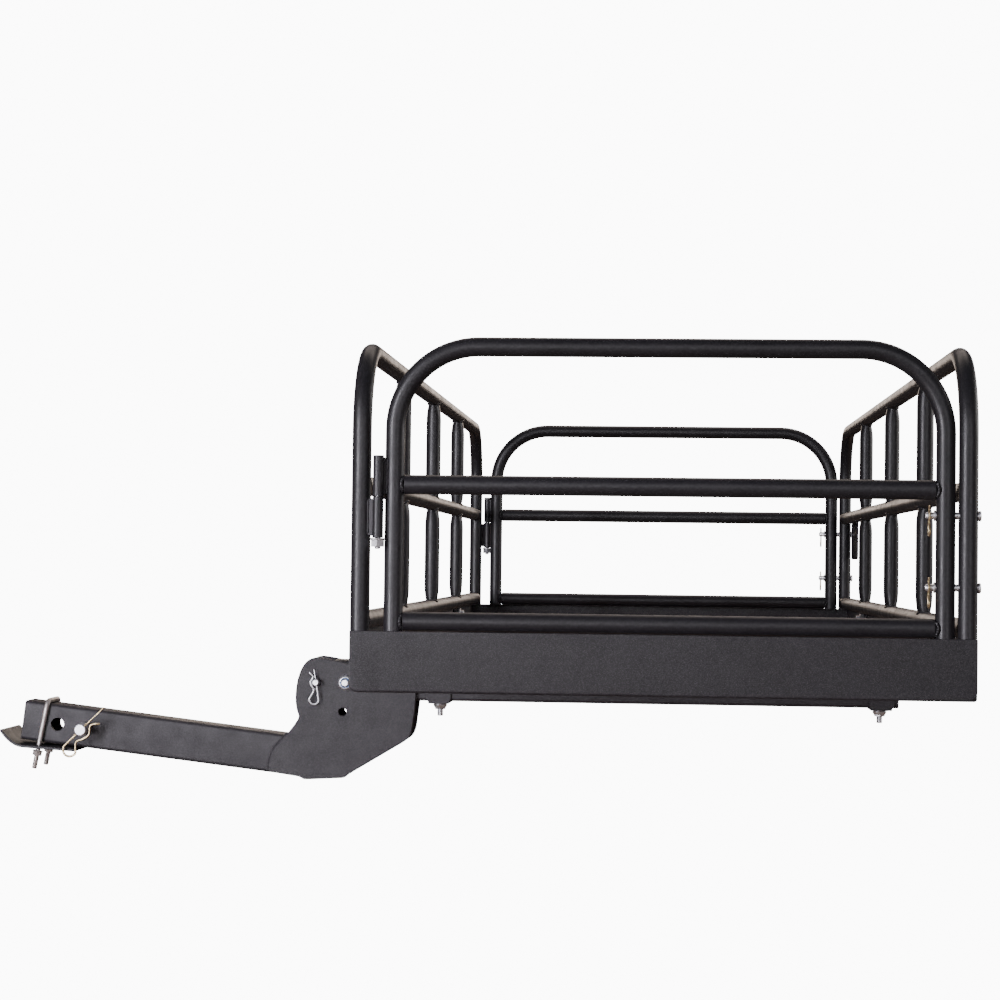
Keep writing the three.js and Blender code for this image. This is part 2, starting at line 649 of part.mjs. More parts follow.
// ---------- end gates, their hinges and latches ----------
// A barrel with a lug that points at the post which carries it.
function knuckle(postX, postY) {
  const bore = HINGE_PIN + GAP;
  const barrel = turned([
    [bore, 0], [KNUCKLE, 0], [KNUCKLE, KNUCKLE_LENGTH], [bore, KNUCKLE_LENGTH], [bore, 0],
  ], 'z', 16);
  const reach = Math.hypot(postX, postY) - TUBE - GAP;
  const lug = box([KNUCKLE - 1, -2.5, 2], [reach, 2.5, KNUCKLE_LENGTH - 2]);
  return join(barrel, lug.rotateZ(Math.atan2(postY, postX)));
}

// The hinge's pin, flush with the upper knuckle, with its nut screwed on below the lower one.
function hingeBolt() {
  const top = KNUCKLE_LENGTH - GAP;
  const foot = -KNUCKLE_LENGTH - 11;
  const shaft = turned([[0, foot], [HINGE_PIN, foot], [HINGE_PIN, top], [0, top]], 'z', 12);
  const flange = rod(7.8, 2, 'z', [0, 0, -KNUCKLE_LENGTH - GAP - 1], 14);
  const hexNut = rod(12 / Math.sqrt(3), 7, 'z', [0, 0, -KNUCKLE_LENGTH - GAP - 5], 6);
  return join(shaft, flange, hexNut);
}

// The latch pin's headed half, from the rear side's post to the gap between the posts.
function latchHead() {
  const postFace = TUBE + GAP;
  const split = -LATCH_SPLIT;
  return turned([
    [0, split], [LATCH_PIN, split], [LATCH_PIN, postFace],
    [5.2, postFace], [5.2, postFace + 2], [0, postFace + 3],
  ], 'x', 12);
}

// The latch pin's other half, through the gate's post to the hairpin clip inside the gate.
function latchTail() {
  const postFace = -TUBE - GAP;
  const tip = postFace - 9.5;
  const split = LATCH_SPLIT;
  const pin = turned([
    [0, tip], [LATCH_PIN - 1, tip], [LATCH_PIN, tip + 1.5], [LATCH_PIN, split], [0, split],
  ], 'x', 12);
  const washer = cut(
    rod(5.4, 1.4, 'x', [postFace - 0.7, 0, 0], 14),
    rod(LATCH_PIN - 0.5, 8, 'x', [postFace, 0, 0], 8),
  );
  return cut(join(pin, washer), rod(1.5, LATCH_PIN * 4, 'z', [postFace - CLIP_REACH, 0, 0], 8));
}

function gateHoop() {
  const place = (x, z) => new THREE.Vector3(x, 0, z);
  const holes = Object.values(LATCH_HEIGHTS).map(
    (height) => rod(LATCH_HOLE, TUBE * 4, 'x', [GATE_POST_LATCH, 0, RIM_TOP + height], 8),
  );
  return cut(hoop(GATE_POST_HINGE, GATE_POST_LATCH, GATE_FOOT, place), ...holes);
}

function gateRail(z) {
  return straightRail(new THREE.Vector3(GATE_POST_HINGE, 0, z), new THREE.Vector3(GATE_POST_LATCH, 0, z));
}

for (const [end, side] of Object.entries(ENDS)) {
  const gate = new THREE.Group();
  gate.position.set(TRAY_X, side * POST_Y, 0);
  carrier.add(gate);
  add(gate, `${end}_gate_hoop`, gateHoop(), black);
  add(gate, `${end}_gate_mid_rail`, gateRail(MID_Z), black);
  add(gate, `${end}_gate_bottom_rail`, gateRail(BOTTOM_Z), black);

  const hinge = new THREE.Group();
  hinge.position.set(HINGE_X, side * HINGE_OUT, RIM_TOP + HINGE_SPLIT);
  gate.add(hinge);
  const upper = knuckle(GATE_POST_HINGE - HINGE_X, -side * HINGE_OUT);
  const lower = knuckle(-POST_X - HINGE_X, -side * HINGE_OUT);
  add(hinge, `${end}_hinge_knuckle_upper`, upper, black).position.z = GAP;
  add(hinge, `${end}_hinge_knuckle_lower`, lower, black).position.z = -KNUCKLE_LENGTH;
  add(hinge, `${end}_hinge_bolt`, hingeBolt(), zinc);

  for (const [level, height] of Object.entries(LATCH_HEIGHTS)) {
    const z = RIM_TOP + height;
    add(gate, `${end}_latch_head_${level}`, latchHead(), zinc).position.set(POST_X, 0, z);
    add(gate, `${end}_latch_tail_${level}`, latchTail(), zinc).position.set(GATE_POST_LATCH, 0, z);
    const wire = hairpin({ pin: LATCH_PIN, wire: 1.1, top: 8, shaft: 15, eye: 4.5 });
    const clip = add(gate, `${end}_latch_clip_${level}`, wire.rotateZ((side * Math.PI) / 2), yellowZinc);
    clip.position.set(GATE_POST_LATCH - TUBE - GAP - CLIP_REACH, 0, z);
  }
}

export default carrier;
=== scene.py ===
"""Folding hitch cargo carrier: the visual model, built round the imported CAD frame.

Shapes are worked out in millimetres, +X away from the vehicle and +Z up, and scaled to metres when
they become objects. Places come from the CAD nodes' boxes wherever a node has an upright box.
"""
import json
import math

import bmesh
import bpy
from mathutils import Matrix, Vector
from mathutils.geometry import tessellate_polygon

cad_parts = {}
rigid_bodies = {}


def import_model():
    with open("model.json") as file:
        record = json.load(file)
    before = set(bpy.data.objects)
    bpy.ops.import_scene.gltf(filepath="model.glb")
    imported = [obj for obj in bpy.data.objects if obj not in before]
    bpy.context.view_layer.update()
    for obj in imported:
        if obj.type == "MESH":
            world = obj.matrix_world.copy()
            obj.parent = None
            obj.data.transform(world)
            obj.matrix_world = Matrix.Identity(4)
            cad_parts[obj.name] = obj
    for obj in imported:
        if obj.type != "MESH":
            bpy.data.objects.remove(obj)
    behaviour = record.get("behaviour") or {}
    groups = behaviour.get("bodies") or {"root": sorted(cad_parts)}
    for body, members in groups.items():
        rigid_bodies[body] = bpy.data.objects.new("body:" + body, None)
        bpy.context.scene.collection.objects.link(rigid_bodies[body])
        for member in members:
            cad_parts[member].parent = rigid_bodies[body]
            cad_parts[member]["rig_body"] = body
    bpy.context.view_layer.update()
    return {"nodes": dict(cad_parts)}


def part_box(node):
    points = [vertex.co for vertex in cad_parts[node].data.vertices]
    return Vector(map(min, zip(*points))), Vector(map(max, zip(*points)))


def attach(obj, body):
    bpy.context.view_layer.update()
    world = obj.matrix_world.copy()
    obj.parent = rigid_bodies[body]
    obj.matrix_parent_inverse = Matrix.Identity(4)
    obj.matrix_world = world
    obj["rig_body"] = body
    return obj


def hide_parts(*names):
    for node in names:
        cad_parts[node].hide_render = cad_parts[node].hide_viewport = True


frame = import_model()

# ---------- driving dimensions, in millimetres ----------
MM = 0.001
GAP = 0.3  # clearance between neighbouring pieces
TUBE = 9.525  # outer radius of the round tube
TUBE_BORE = 8.025
BEND = 82.0  # centre-line radius of the hoops' bends
TAIL_CUT = 13.0  # the slanting cut at the top of the beam's tail
SQUARE = 50.8  # the shank's and the beam's outer width
SQUARE_WALL = 4.0
SQUARE_CORNER = 4.6
SHANK_TILT = math.radians(6.5)
SHANK_FRONT = -84.0
SHANK_BACK = 290.0
HITCH_HOLE = 8.6
HITCH_PIN = 7.9
HITCH_PIN_TIP = -60.0
SPARE_HOLE_X = -38.1
U_BOLT = 3.2
U_BOLT_X = -57.0
U_BOLT_LEAN = math.radians(4)
U_BOLT_MIDDLE = -17.0  # height of the point about which it leans
U_BOLT_LEG = 29.2
U_BOLT_FOOT = -43.4  # from that point, as is the seat of its nuts
U_BOLT_SEAT = -19.5
LOCK_RADIUS = 38.1
LOCK_PIN = 4.76
PIVOT = 5.0
RIM_WALL = 2.5
RIM_FLANGE = 30.0
RIM_BEND = 3.0  # outer radius of the fold between a rim's wall and its flange
RIM_CORNER = 8.0  # the end rims' rounded lower corners
SPINDLE_Y = (-375.0, 0.0, 375.0)
SPINDLE_NECK = 6.75
SPINDLE_TAPER = 30.0
SPINDLE_NOTCH = 6.0
KNUCKLE = 5.3
HINGE_PIN = 3.0
BOLT = 4.0
LATCH_PIN = 3.5
CLIP_REACH = 6.3
CLAMP_THICK = 3.0
BUTTON_HEAD = 9.0  # radius of a button head
BUTTON_HEIGHT = 4.5
U_BOLT_ACROSS = 10.5  # across the flats of the U-bolt's nuts
HINGE_ACROSS = 12.0
M8_ACROSS = 13.0
M10_ACROSS = 17.0
HEXAGON_SIDES = 72
THREAD_SIDES = 24
THREAD_TIP = 1.0  # length of a thread's chamfered end
MESH_LONG = 50.0  # the expanded metal's diamonds
MESH_SHORT = 22.0
STRAND = 2.6
KNUCKLE_RUN = 9.0  # length of the flat where two strands meet
RIM_BURR = 0.3  # paint that stands on the rim's cut edge
TAB_THICK = 3.0
TAB_HALF = 14.0  # half the length of a bolt tab
SMOOTH_BELOW = math.radians(34)  # edges that turn less than this are shaded smooth
HITCH_CLIP_TURN = math.radians(39)
LOCK_CLIP_TURN = math.radians(-9.5)
NEAR_FAR = (("near", -1), ("far", 1))  # the ends, with the sign of their Y
FRONT_REAR = (("front", -1), ("rear", 1))  # the long sides, with the sign of X outwards

NEAR = Matrix.Rotation(math.pi / 2, 4, "X")  # turns a piece's own +Z to -Y
FLIP = Matrix.Rotation(math.pi, 4, "X")
TO_X = Matrix.Rotation(math.pi / 2, 4, "Y")  # turns a piece's own +Z to +X
SHANK = Matrix.Rotation(SHANK_TILT, 4, "Y")


def corners(node):
    """Lowest and highest corner of a CAD node, in millimetres."""
    low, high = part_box(node)
    return low / MM, high / MM


def middle(node):
    low, high = corners(node)
    return (low + high) / 2


def at(x, y, z):
    return Matrix.Translation((x, y, z))


# ---------- shapes ----------
class Shape:
    """Points in millimetres and the faces between them."""

    def __init__(self, points=(), faces=()):
        self.points = [Vector(p) for p in points]
        self.faces = [tuple(f) for f in faces]

    def __add__(self, other):
        shift = len(self.points)
        moved_up = [tuple(i + shift for i in face) for face in other.faces]
        return Shape(self.points + other.points, self.faces + moved_up)

    def moved(self, matrix):
        return Shape([matrix @ p for p in self.points], self.faces)


def loft(rings, closed=False):
    """A skin over rings that all have the same number of points."""
    count = len(rings[0])
    points = [p for ring in rings for p in ring]
    faces = []
    for a in range(len(rings) if closed else len(rings) - 1):
        b = (a + 1) % len(rings)
        for i in range(count):
            j = (i + 1) % count
            faces.append((a * count + i, a * count + j, b * count + j, b * count + i))
    if not closed:
        faces.append(tuple(reversed(range(count))))
        faces.append(tuple(range(len(points) - count, len(points))))
    return Shape(points, faces)


def arc(centre, radius, start, end, steps):
    """Points (u, v) of an arc, both ends included."""
    angles = [start + (end - start) * i / steps for i in range(steps + 1)]
    return [(centre[0] + radius * math.cos(a), centre[1] + radius * math.sin(a)) for a in angles]


def turned(profile, sides=32, closed=False):
    """(radius, height) pairs turned about Z."""
    angles = [math.tau * i / sides for i in range(sides)]
    rings = [[(r * math.cos(a), r * math.sin(a), z) for a in angles] for r, z in profile]
    return loft(rings, closed)


def sweep(path, radius, up, sides, bore=0.0):
    """A round section along a path. radius may be one value or one for each point."""
    path = [Vector(p) for p in path]
    count = len(path)
    radii = radius if isinstance(radius, list) else [radius] * count
    up = Vector(up)
    angles = [math.tau * i / sides for i in range(sides)]
    outer, inner = [], []
    for i, point in enumerate(path):
        before = path[i - 1] if i else point
        after = path[i + 1] if i < count - 1 else point
        side = (after - before).cross(up).normalized()
        over = side.cross(after - before).normalized()
        spokes = [side * math.cos(a) + over * math.sin(a) for a in angles]
        outer.append([point + s * radii[i] for s in spokes])
        inner.append([point + s * bore for s in spokes])
    if bore:
        return loft(outer + inner[::-1], closed=True)
    return loft(outer)


def bead(path, up, radius):
    """A weld: a thin sweep whose thickness ripples, with tapered ends."""
    ripple = [radius * (1 + 0.13 * math.sin(i * 1.9)) for i in range(len(path))]
    ripple[0] = ripple[-1] = radius * 0.5
    return sweep(path, ripple, up, sides=8)


def straight(start, end):
    """Points about a millimetre apart between two ends."""
    start, end = Vector(start), Vector(end)
    steps = max(2, round((end - start).length / 1.1))
    return [start.lerp(end, i / steps) for i in range(steps + 1)]


def smooth_path(points, steps):
    """A round curve through the points."""
    points = [Vector(p) for p in points]
    padded = [points[0] * 2 - points[1], *points, points[-1] * 2 - points[-2]]
    curve = []
    for a, b, c, d in zip(padded, padded[1:], padded[2:], padded[3:]):
        for i in range(steps):
            t = i / steps
            curve.append(0.5 * (2 * b + (c - a) * t + (2 * a - 5 * b + 4 * c - d) * t * t
                                + (3 * b - a - 3 * c + d) * t ** 3))
    return curve + [points[-1]]


def softened(loop, reach, steps):
    """The loop with each corner rounded, starting at most `reach` from it."""
    result = []
    for i, corner in enumerate(loop):
        p, a, b = Vector(corner), Vector(loop[i - 1]), Vector(loop[(i + 1) % len(loop)])
        first = p + (a - p).normalized() * min(reach, (a - p).length * 0.48)
        last = p + (b - p).normalized() * min(reach, (b - p).length * 0.48)
        for k in range(steps + 1):
            t = k / steps
            result.append(first * (1 - t) ** 2 + p * 2 * t * (1 - t) + last * t * t)
    return result


def area(loop):
    return sum(a[0] * b[1] - b[0] * a[1] for a, b in zip(loop, loop[1:] + loop[:1])) / 2


def inset(loop, distance):
    """The loop, counter-clockwise, drawn in by a distance (or let out, if it is negative)."""
    result = []
    for i, p in enumerate(loop):
        back = (p - loop[i - 1]).normalized()
        ahead = (loop[(i + 1) % len(loop)] - p).normalized()
        normal = Vector((-back.y - ahead.y, back.x + ahead.x)).normalized()
        spread = max(0.5, normal.dot(Vector((-ahead.y, ahead.x))))
        result.append(p + normal * distance / spread)
    return result


def plate(outline, low, high, place, holes=(), bevel=0.5):
    """A flat plate with softened edges: (u, v) loops, between heights w, put by place(u, v, w)."""
    loops = []
    for loop in [outline, *holes]:
        loop = [Vector(p) for p in loop]
        loops.append(loop if area(loop) > 0 else loop[::-1])
    levels = [(low, bevel), (low + bevel, 0), (high - bevel, 0), (high, bevel)]
    shape = Shape()
    rims = []
    for index, loop in enumerate(loops):
        outward = 1 if index == 0 else -1
        rings = [[place(*p, w) for p in inset(loop, outward * draw)] for w, draw in levels]
        skin = loft(rings)
        shape += Shape(skin.points, skin.faces[:-2])
        rims.append(inset(loop, outward * bevel))
    flat = [[Vector((*p, 0)) for p in loop] for loop in rims]
    triangles = tessellate_polygon(flat)
    for height in (low, high):
        shape += Shape([place(p.x, p.y, height) for loop in flat for p in loop], triangles)
    return shape


def bevelled_box(low, high):
    outline = [(low[0], low[1]), (high[0], low[1]), (high[0], high[1]), (low[0], high[1])]
    return plate(outline, low[2], high[2], lambda u, v, w: Vector((u, v, w)), bevel=0.6)


def face_loops(node, axis, side):
    """Outlines of a CAD node's flat face that looks along an axis: the outer one, then its holes.

    Also gives the face's place on that axis. Points are (u, v) on the two other axes in order.
    """
    mesh = frame["nodes"][node].data
    others = [i for i in range(3) if i != axis]
    places, edges = {}, {}
    depth = max(side * v.co[axis] for v in mesh.vertices) * side / MM
    for face in mesh.polygons:
        on_face = all(abs(mesh.vertices[i].co[axis] / MM - depth) < 0.02 for i in face.vertices)
        if face.normal[axis] * side < 0.9 or not on_face:
            continue
        keys = []
        for i in face.vertices:
            point = mesh.vertices[i].co / MM
            key = tuple(round(point[o], 2) for o in others)
            places[key] = Vector([point[o] for o in others])
            keys.append(key)
        for a, b in zip(keys, keys[1:] + keys[:1]):
            if (b, a) in edges:
                del edges[(b, a)]
            else:
                edges[(a, b)] = True
    follows = {a: b for a, b in edges}
    loops = []
    while follows:
        start, key = follows.popitem()
        loop = [places[start]]
        while key != start:
            loop.append(places[key])
            key = follows.pop(key)
        loops.append(loop)
    loops.sort(key=lambda loop: -abs(area(loop)))
    return loops, depth


def fine_circle(loop):
    """A round hole in place of the CAD's faceted one."""
    sides = 40
    centre = sum(loop, Vector((0, 0))) / len(loop)
    radius = max((p - centre).length for p in loop)
    return arc(centre, radius, 0, math.tau * (sides - 1) / sides, sides - 1)


def cad_plate(node, axis, reach, bevel, steps=4):
    """A CAD plate again, with rounder corners, round holes and softened edges."""
    loops, high = face_loops(node, axis, 1)
    _, low = face_loops(node, axis, -1)
    order = [i for i in range(3) if i != axis] + [axis]

    def place(*uvw):
        point = Vector()
        for value, to in zip(uvw, order):
            point[to] = value
        return point

    holes = [fine_circle(loop) for loop in loops[1:]]
    return plate(softened(loops[0], reach, steps), low, high, place, holes, bevel)


def rounded_square(half, radius):
    inner = half - radius
    points = []
    for quarter, (u, v) in enumerate([(1, 1), (-1, 1), (-1, -1), (1, -1)]):
        start = quarter * math.pi / 2
        points += arc((u * inner, v * inner), radius, start, start + math.pi / 2, 8)
    return points


def square_tube(x0, x1, z=0.0):
    """The shank's or the beam's square tube, its cut ends slightly broken."""
    half = SQUARE / 2
    edge = 0.6
    outer = rounded_square(half, SQUARE_CORNER)
    inner = rounded_square(half - SQUARE_WALL, SQUARE_CORNER - SQUARE_WALL)
    broken = rounded_square(half - edge, SQUARE_CORNER - edge)
    levels = [(x0, broken), (x0 + edge, outer), (x1 - edge, outer), (x1, broken), (x1, inner), (x0, inner)]
    return loft([[(x, u, v + z) for u, v in ring] for x, ring in levels], closed=True)


def as_object(shape, name="shape"):
    mesh = bpy.data.meshes.new(name)
    mesh.from_pydata([p * MM for p in shape.points], [], shape.faces)
    work = bmesh.new()
    work.from_mesh(mesh)
    bmesh.ops.remove_doubles(work, verts=work.verts, dist=0.002 * MM)
    bmesh.ops.recalc_face_normals(work, faces=work.faces)
    work.to_mesh(mesh)
    work.free()
    piece = bpy.data.objects.new(name, mesh)
    bpy.context.scene.collection.objects.link(piece)
    return piece


def drilled(shape, *cutters):
    """The shape with the cutters' space taken out."""
    body = as_object(shape)
    tools = [as_object(cutter) for cutter in cutters]
    for tool in tools:
        modifier = body.modifiers.new("hole", "BOOLEAN")
        modifier.operation = "DIFFERENCE"
        modifier.solver = "EXACT"
        modifier.object = tool
    bpy.context.view_layer.update()
    result = body.evaluated_get(bpy.context.evaluated_depsgraph_get()).to_mesh()
    cut = Shape([v.co / MM for v in result.vertices], [p.vertices for p in result.polygons])
    for used in [body, *tools]:
        bpy.data.objects.remove(used)
    return cut


# ---------- fasteners ----------
def hexagon_ring(across, z, limit):
    """A hexagon's outline, trimmed to a circle of radius `limit`."""
    ring = []
    for i in range(HEXAGON_SIDES):
        angle = math.tau * i / HEXAGON_SIDES
        edge = across / 2 / math.cos((angle + math.pi / 6) % (math.pi / 3) - math.pi / 6)
        radius = min(edge, limit)
        ring.append((radius * math.cos(angle), radius * math.sin(angle), z))
    return ring


def circle_ring(radius, z):
    """A circle with as many points as a hexagon's outline."""
    return hexagon_ring(9 * radius, z, radius)


def hexagon(across, low, high, bore=0.0, flange=0.0):
    """A nut or a bolt's head, standing on `low`, with its corners turned off."""
    corner = across / math.sqrt(3)
    flat = across / 2 * 0.96
    drop = (corner - flat) * 0.6
    easing = [(drop * (1 - k / 4), corner + (flat - corner) * k / 4) for k in range(5)]
    rings = []
    if flange:
        for radius, z in ((flange - 0.5, low), (flange, low + 0.5), (flange - 0.1, low + 1.2)):
            rings.append(circle_ring(radius, z))
        rings.append(hexagon_ring(across, low + 2.2, corner))
    else:
        rings += [hexagon_ring(across, low + d, limit) for d, limit in reversed(easing)]
    rings += [hexagon_ring(across, high - d, limit) for d, limit in easing]
    if not bore:
        return loft(rings)
    for radius, z in ((bore + 0.5, high), (bore, high - 0.5), (bore, low + 0.5), (bore + 0.5, low)):
        rings.append(circle_ring(radius, z))
    return loft(rings, closed=True)


def thread(radius, pitch, low, high):
    """A screw thread from `high` down to its chamfered tip at `low`."""
    depth = 0.5 * pitch
    steps = round((high - low) / pitch * 6)
    rings = []
    for k in range(steps + 1):
        z = low + (high - low) * k / steps
        allowed = radius - THREAD_TIP + min(THREAD_TIP, z - low)
        ring = []
        for i in range(THREAD_SIDES):
            wave = 0.5 - 0.5 * math.cos(math.tau * (z / pitch - i / THREAD_SIDES))
            r = min(radius - depth * wave, allowed)
            angle = math.tau * i / THREAD_SIDES
            ring.append((r * math.cos(angle), r * math.sin(angle), z))
        rings.append(ring)
    return loft(rings)


def button_head(low):
    """A round button head that stands on `low`."""
    edge = 0.8  # height of its straight edge
    cap = [(BUTTON_HEAD * math.cos(a), low + edge + (BUTTON_HEIGHT - edge) * math.sin(a))
           for a in (math.radians(d) for d in range(0, 90, 9))]
    return turned([(BUTTON_HEAD - 0.3, low), *cap, (0.3, low + BUTTON_HEIGHT)])


def hairpin(pin, wire, top, shaft, eye):
    """A hairpin clip of spring wire in the X-Z plane, its straight leg through the origin."""
    neck = max(0.6 * pin, 2 * wire + 2 * GAP)
    loop = [(x, 0, z) for x, z in arc((eye, -shaft), eye, math.pi, math.pi * 2.12, 7)]
    waved = [(0.92 * pin, 0, -2.05 * pin), (1.35 * pin, 0, -0.8 * pin), (1.5 * pin, 0, 0.3 * pin),
             (neck, 0, 1.65 * pin), (1.46 * pin, 0, 2.9 * pin)]
    path = [Vector((0, 0, top))] + smooth_path([(0, 0, -shaft + 2 * eye), *loop, *waved], 6)
    radii = [wire] * len(path)
    radii[0] = radii[-1] = wire * 0.6
    return sweep(path, radii, (0, 1, 0), sides=14)


# ---------- materials ----------
def new_material(name):
    material = bpy.data.materials.new(name)
    material.use_nodes = True
    nodes, links = material.node_tree.nodes, material.node_tree.links
    shader = nodes["Principled BSDF"]
    place = nodes.new("ShaderNodeTexCoord")
    return material, nodes, links, shader, place.outputs["Object"]


def noise(nodes, links, place, scale, detail=3.0, roughness=0.55):
    """Object-space noise, `scale` features to the metre."""
    node = nodes.new("ShaderNodeTexNoise")
    node.inputs["Scale"].default_value = scale
    node.inputs["Detail"].default_value = detail
    node.inputs["Roughness"].default_value = roughness
    links.new(place, node.inputs["Vector"])
    return node.outputs["Fac"]


def ramp(nodes, links, value, stops):
    """Colours along a value, as (position, (r, g, b)) pairs."""
    node = nodes.new("ShaderNodeValToRGB")
    elements = node.color_ramp.elements
    while len(elements) < len(stops):
        elements.new(0.5)
    for element, (position, colour) in zip(elements, stops):
        element.position = position
        element.color = (*colour, 1)
    links.new(value, node.inputs["Fac"])
    return node.outputs["Color"]


def blend(nodes, links, share, first, second):
    """A mix of two colours; each of the three values may be a socket or plain."""
    node = nodes.new("ShaderNodeMix")
    node.data_type = "RGBA"
    sockets = node.inputs["Factor"], node.inputs[6], node.inputs[7]
    for socket, value in zip(sockets, (share, first, second)):
        if isinstance(value, bpy.types.NodeSocket):
            links.new(value, socket)
        elif isinstance(value, tuple):
            socket.default_value = (*value, 1)
        else:
            socket.default_value = value
    return node.outputs[2]


def span(nodes, links, value, low, high, source=(0.3, 0.7)):
    """The value, carried from the source range to low..high."""
    node = nodes.new("ShaderNodeMapRange")
    node.inputs["From Min"].default_value, node.inputs["From Max"].default_value = source
    node.inputs["To Min"].default_value, node.inputs["To Max"].default_value = low, high
    links.new(value, node.inputs["Value"])
    return node.outputs["Result"]


def bump(nodes, links, height, distance, strength, under=None):
    node = nodes.new("ShaderNodeBump")
    node.inputs["Distance"].default_value = distance
    node.inputs["Strength"].default_value = strength
    links.new(height, node.inputs["Height"])
    if under:
        links.new(under, node.inputs["Normal"])
    return node.outputs["Normal"]


def powder_coat(name, colour, roughness, grain, relief, specks=0.0, scuffs=0.0):
    """Baked black powder paint: a fine pebbled skin with slow changes of tone, specks and scuffs."""
    material, nodes, links, shader, place = new_material(name)
    slow = noise(nodes, links, place, 14.0)
    fine = noise(nodes, links, place, grain, 2.0)
    pebbles = noise(nodes, links, place, 480.0, 2.0)
    darker = tuple(c * 0.84 for c in colour)
    lighter = tuple(c * 1.16 for c in colour)
    tone = ramp(nodes, links, slow, [(0.32, darker), (0.68, lighter)])
    raised = ramp(nodes, links, pebbles, [(0.42, (0, 0, 0)), (0.62, (0.5,) * 3)])
    tone = blend(nodes, links, raised, tone, tuple(c * 2.0 for c in colour))
    if specks:
        dots = ramp(nodes, links, fine, [(0.50, (0, 0, 0)), (0.80, (specks,) * 3)])
        tone = blend(nodes, links, dots, tone, (0.12, 0.115, 0.12))
    rough = span(nodes, links, noise(nodes, links, place, 45.0), roughness - 0.06, roughness + 0.07)
    if scuffs:
        stretched = nodes.new("ShaderNodeMapping")
        stretched.inputs["Scale"].default_value = (1.0, 1.0, 5.0)
        stretched.inputs["Rotation"].default_value = (0.0, 0.6, 0.0)
        links.new(place, stretched.inputs["Vector"])
        marks = noise(nodes, links, stretched.outputs["Vector"], 60.0, 6.0, 0.7)
        rubbed = ramp(nodes, links, marks, [(0.62, (0, 0, 0)), (0.70, (scuffs,) * 3)])
        tone = blend(nodes, links, rubbed, tone, (0.06, 0.055, 0.06))
    edges = nodes.new("ShaderNodeNewGeometry")
    worn = ramp(nodes, links, edges.outputs["Pointiness"], [(0.54, (0, 0, 0)), (0.62, (0.35,) * 3)])
    tone = blend(nodes, links, worn, tone, tuple(c * 3.0 for c in colour))
    links.new(tone, shader.inputs["Base Color"])
    links.new(rough, shader.inputs["Roughness"])
    peel = bump(nodes, links, pebbles, relief * 2.0, 0.5)
    links.new(bump(nodes, links, fine, relief, 0.8, peel), shader.inputs["Normal"])
    shader.inputs["Specular IOR Level"].default_value = 0.42
    return material


def plating(name, bright, dull, roughness):
    """Zinc plate: metal with cloudy patches and fine draw marks."""
    material, nodes, links, shader, place = new_material(name)
    clouds = noise(nodes, links, place, 180.0, 5.0, 0.65)
    links.new(ramp(nodes, links, clouds, [(0.35, dull), (0.62, bright)]), shader.inputs["Base Color"])
    links.new(span(nodes, links, clouds, roughness + 0.14, roughness - 0.06), shader.inputs["Roughness"])
    shader.inputs["Metallic"].default_value = 0.93
    grit = noise(nodes, links, place, 1600.0, 3.0)
    links.new(bump(nodes, links, grit, 0.00006, 0.6), shader.inputs["Normal"])
    return material


def nylon(name):
    """The blue ring of a lock nut."""
    material, nodes, links, shader, place = new_material(name)
    mottled = noise(nodes, links, place, 700.0)
    tint = ramp(nodes, links, mottled, [(0.3, (0.10, 0.17, 0.34)), (0.7, (0.19, 0.30, 0.52))])
    links.new(tint, shader.inputs["Base Color"])
    links.new(span(nodes, links, mottled, 0.35, 0.5), shader.inputs["Roughness"])
    shader.inputs["Subsurface Weight"].default_value = 0.15
    shader.inputs["Subsurface Radius"].default_value = (0.001, 0.001, 0.001)
    return material


# each finish is a material and its slot in the record
TUBE_COAT = (powder_coat("tube_powder_coat", (0.0105, 0.0098, 0.0115), roughness=0.40,
                         grain=1500.0, relief=0.00006), "tube_coat")
TRAY_COAT = (powder_coat("tray_powder_coat", (0.0116, 0.0107, 0.0128), roughness=0.52,
                         grain=1100.0, relief=0.00016, specks=0.5), "tray_coat")
PLATE_COAT = (powder_coat("plate_powder_coat", (0.0178, 0.0163, 0.0192), roughness=0.50,
                          grain=1300.0, relief=0.00010, specks=0.3, scuffs=0.5), "plate_coat")
ZINC = (plating("zinc_plate", (0.95, 0.955, 0.97), (0.70, 0.71, 0.75), 0.30), "zinc_plate")
DULL_ZINC = (plating("dull_zinc", (0.70, 0.66, 0.63), (0.50, 0.46, 0.43), 0.46), "zinc_plate")
YELLOW_ZINC = (plating("yellow_zinc", (0.80, 0.66, 0.38), (0.52, 0.40, 0.26), 0.30), "yellow_zinc")
NYLON = (nylon("nylon_ring"), "zinc_plate")


def add(node, shape, finish, part="surface", hides=True):
    """Makes the shape a piece that rides with a CAD node and stands for it."""
    piece = as_object(shape, f"{node}_{part}")
    work = bmesh.new()
    work.from_mesh(piece.data)
    for face in work.faces:
        face.smooth = True
    for edge in work.edges:
        edge.smooth = edge.is_manifold and edge.calc_face_angle(0) < SMOOTH_BELOW
    work.to_mesh(piece.data)
    work.free()
    material, slot = finish
    piece.data.materials.append(material)
    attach(piece, frame["nodes"][node]["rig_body"])
    if hides:
        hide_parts(node)
    return piece


# ---------- shank and anti-rattle clamp ----------
def cross_rod(radius, x, z):
    """A rod along Y that is longer than the square tubes are wide."""
    return turned([(radius, -60.0), (radius, 60.0)], 40).moved(at(x, 0, z) @ NEAR)


shank_holes = [cross_rod(HITCH_HOLE, x, 0) for x in (0, SPARE_HOLE_X)]
add("shank_tube", drilled(square_tube(SHANK_FRONT, SHANK_BACK), *shank_holes).moved(SHANK), PLATE_COAT)
add("anti_rattle_plate", cad_plate("anti_rattle_plate", 1, 8.0, 0.6, 6), PLATE_COAT)

u_bolt_frame = SHANK @ at(U_BOLT_X, 0, U_BOLT_MIDDLE) @ Matrix.Rotation(U_BOLT_LEAN, 4, "Y")


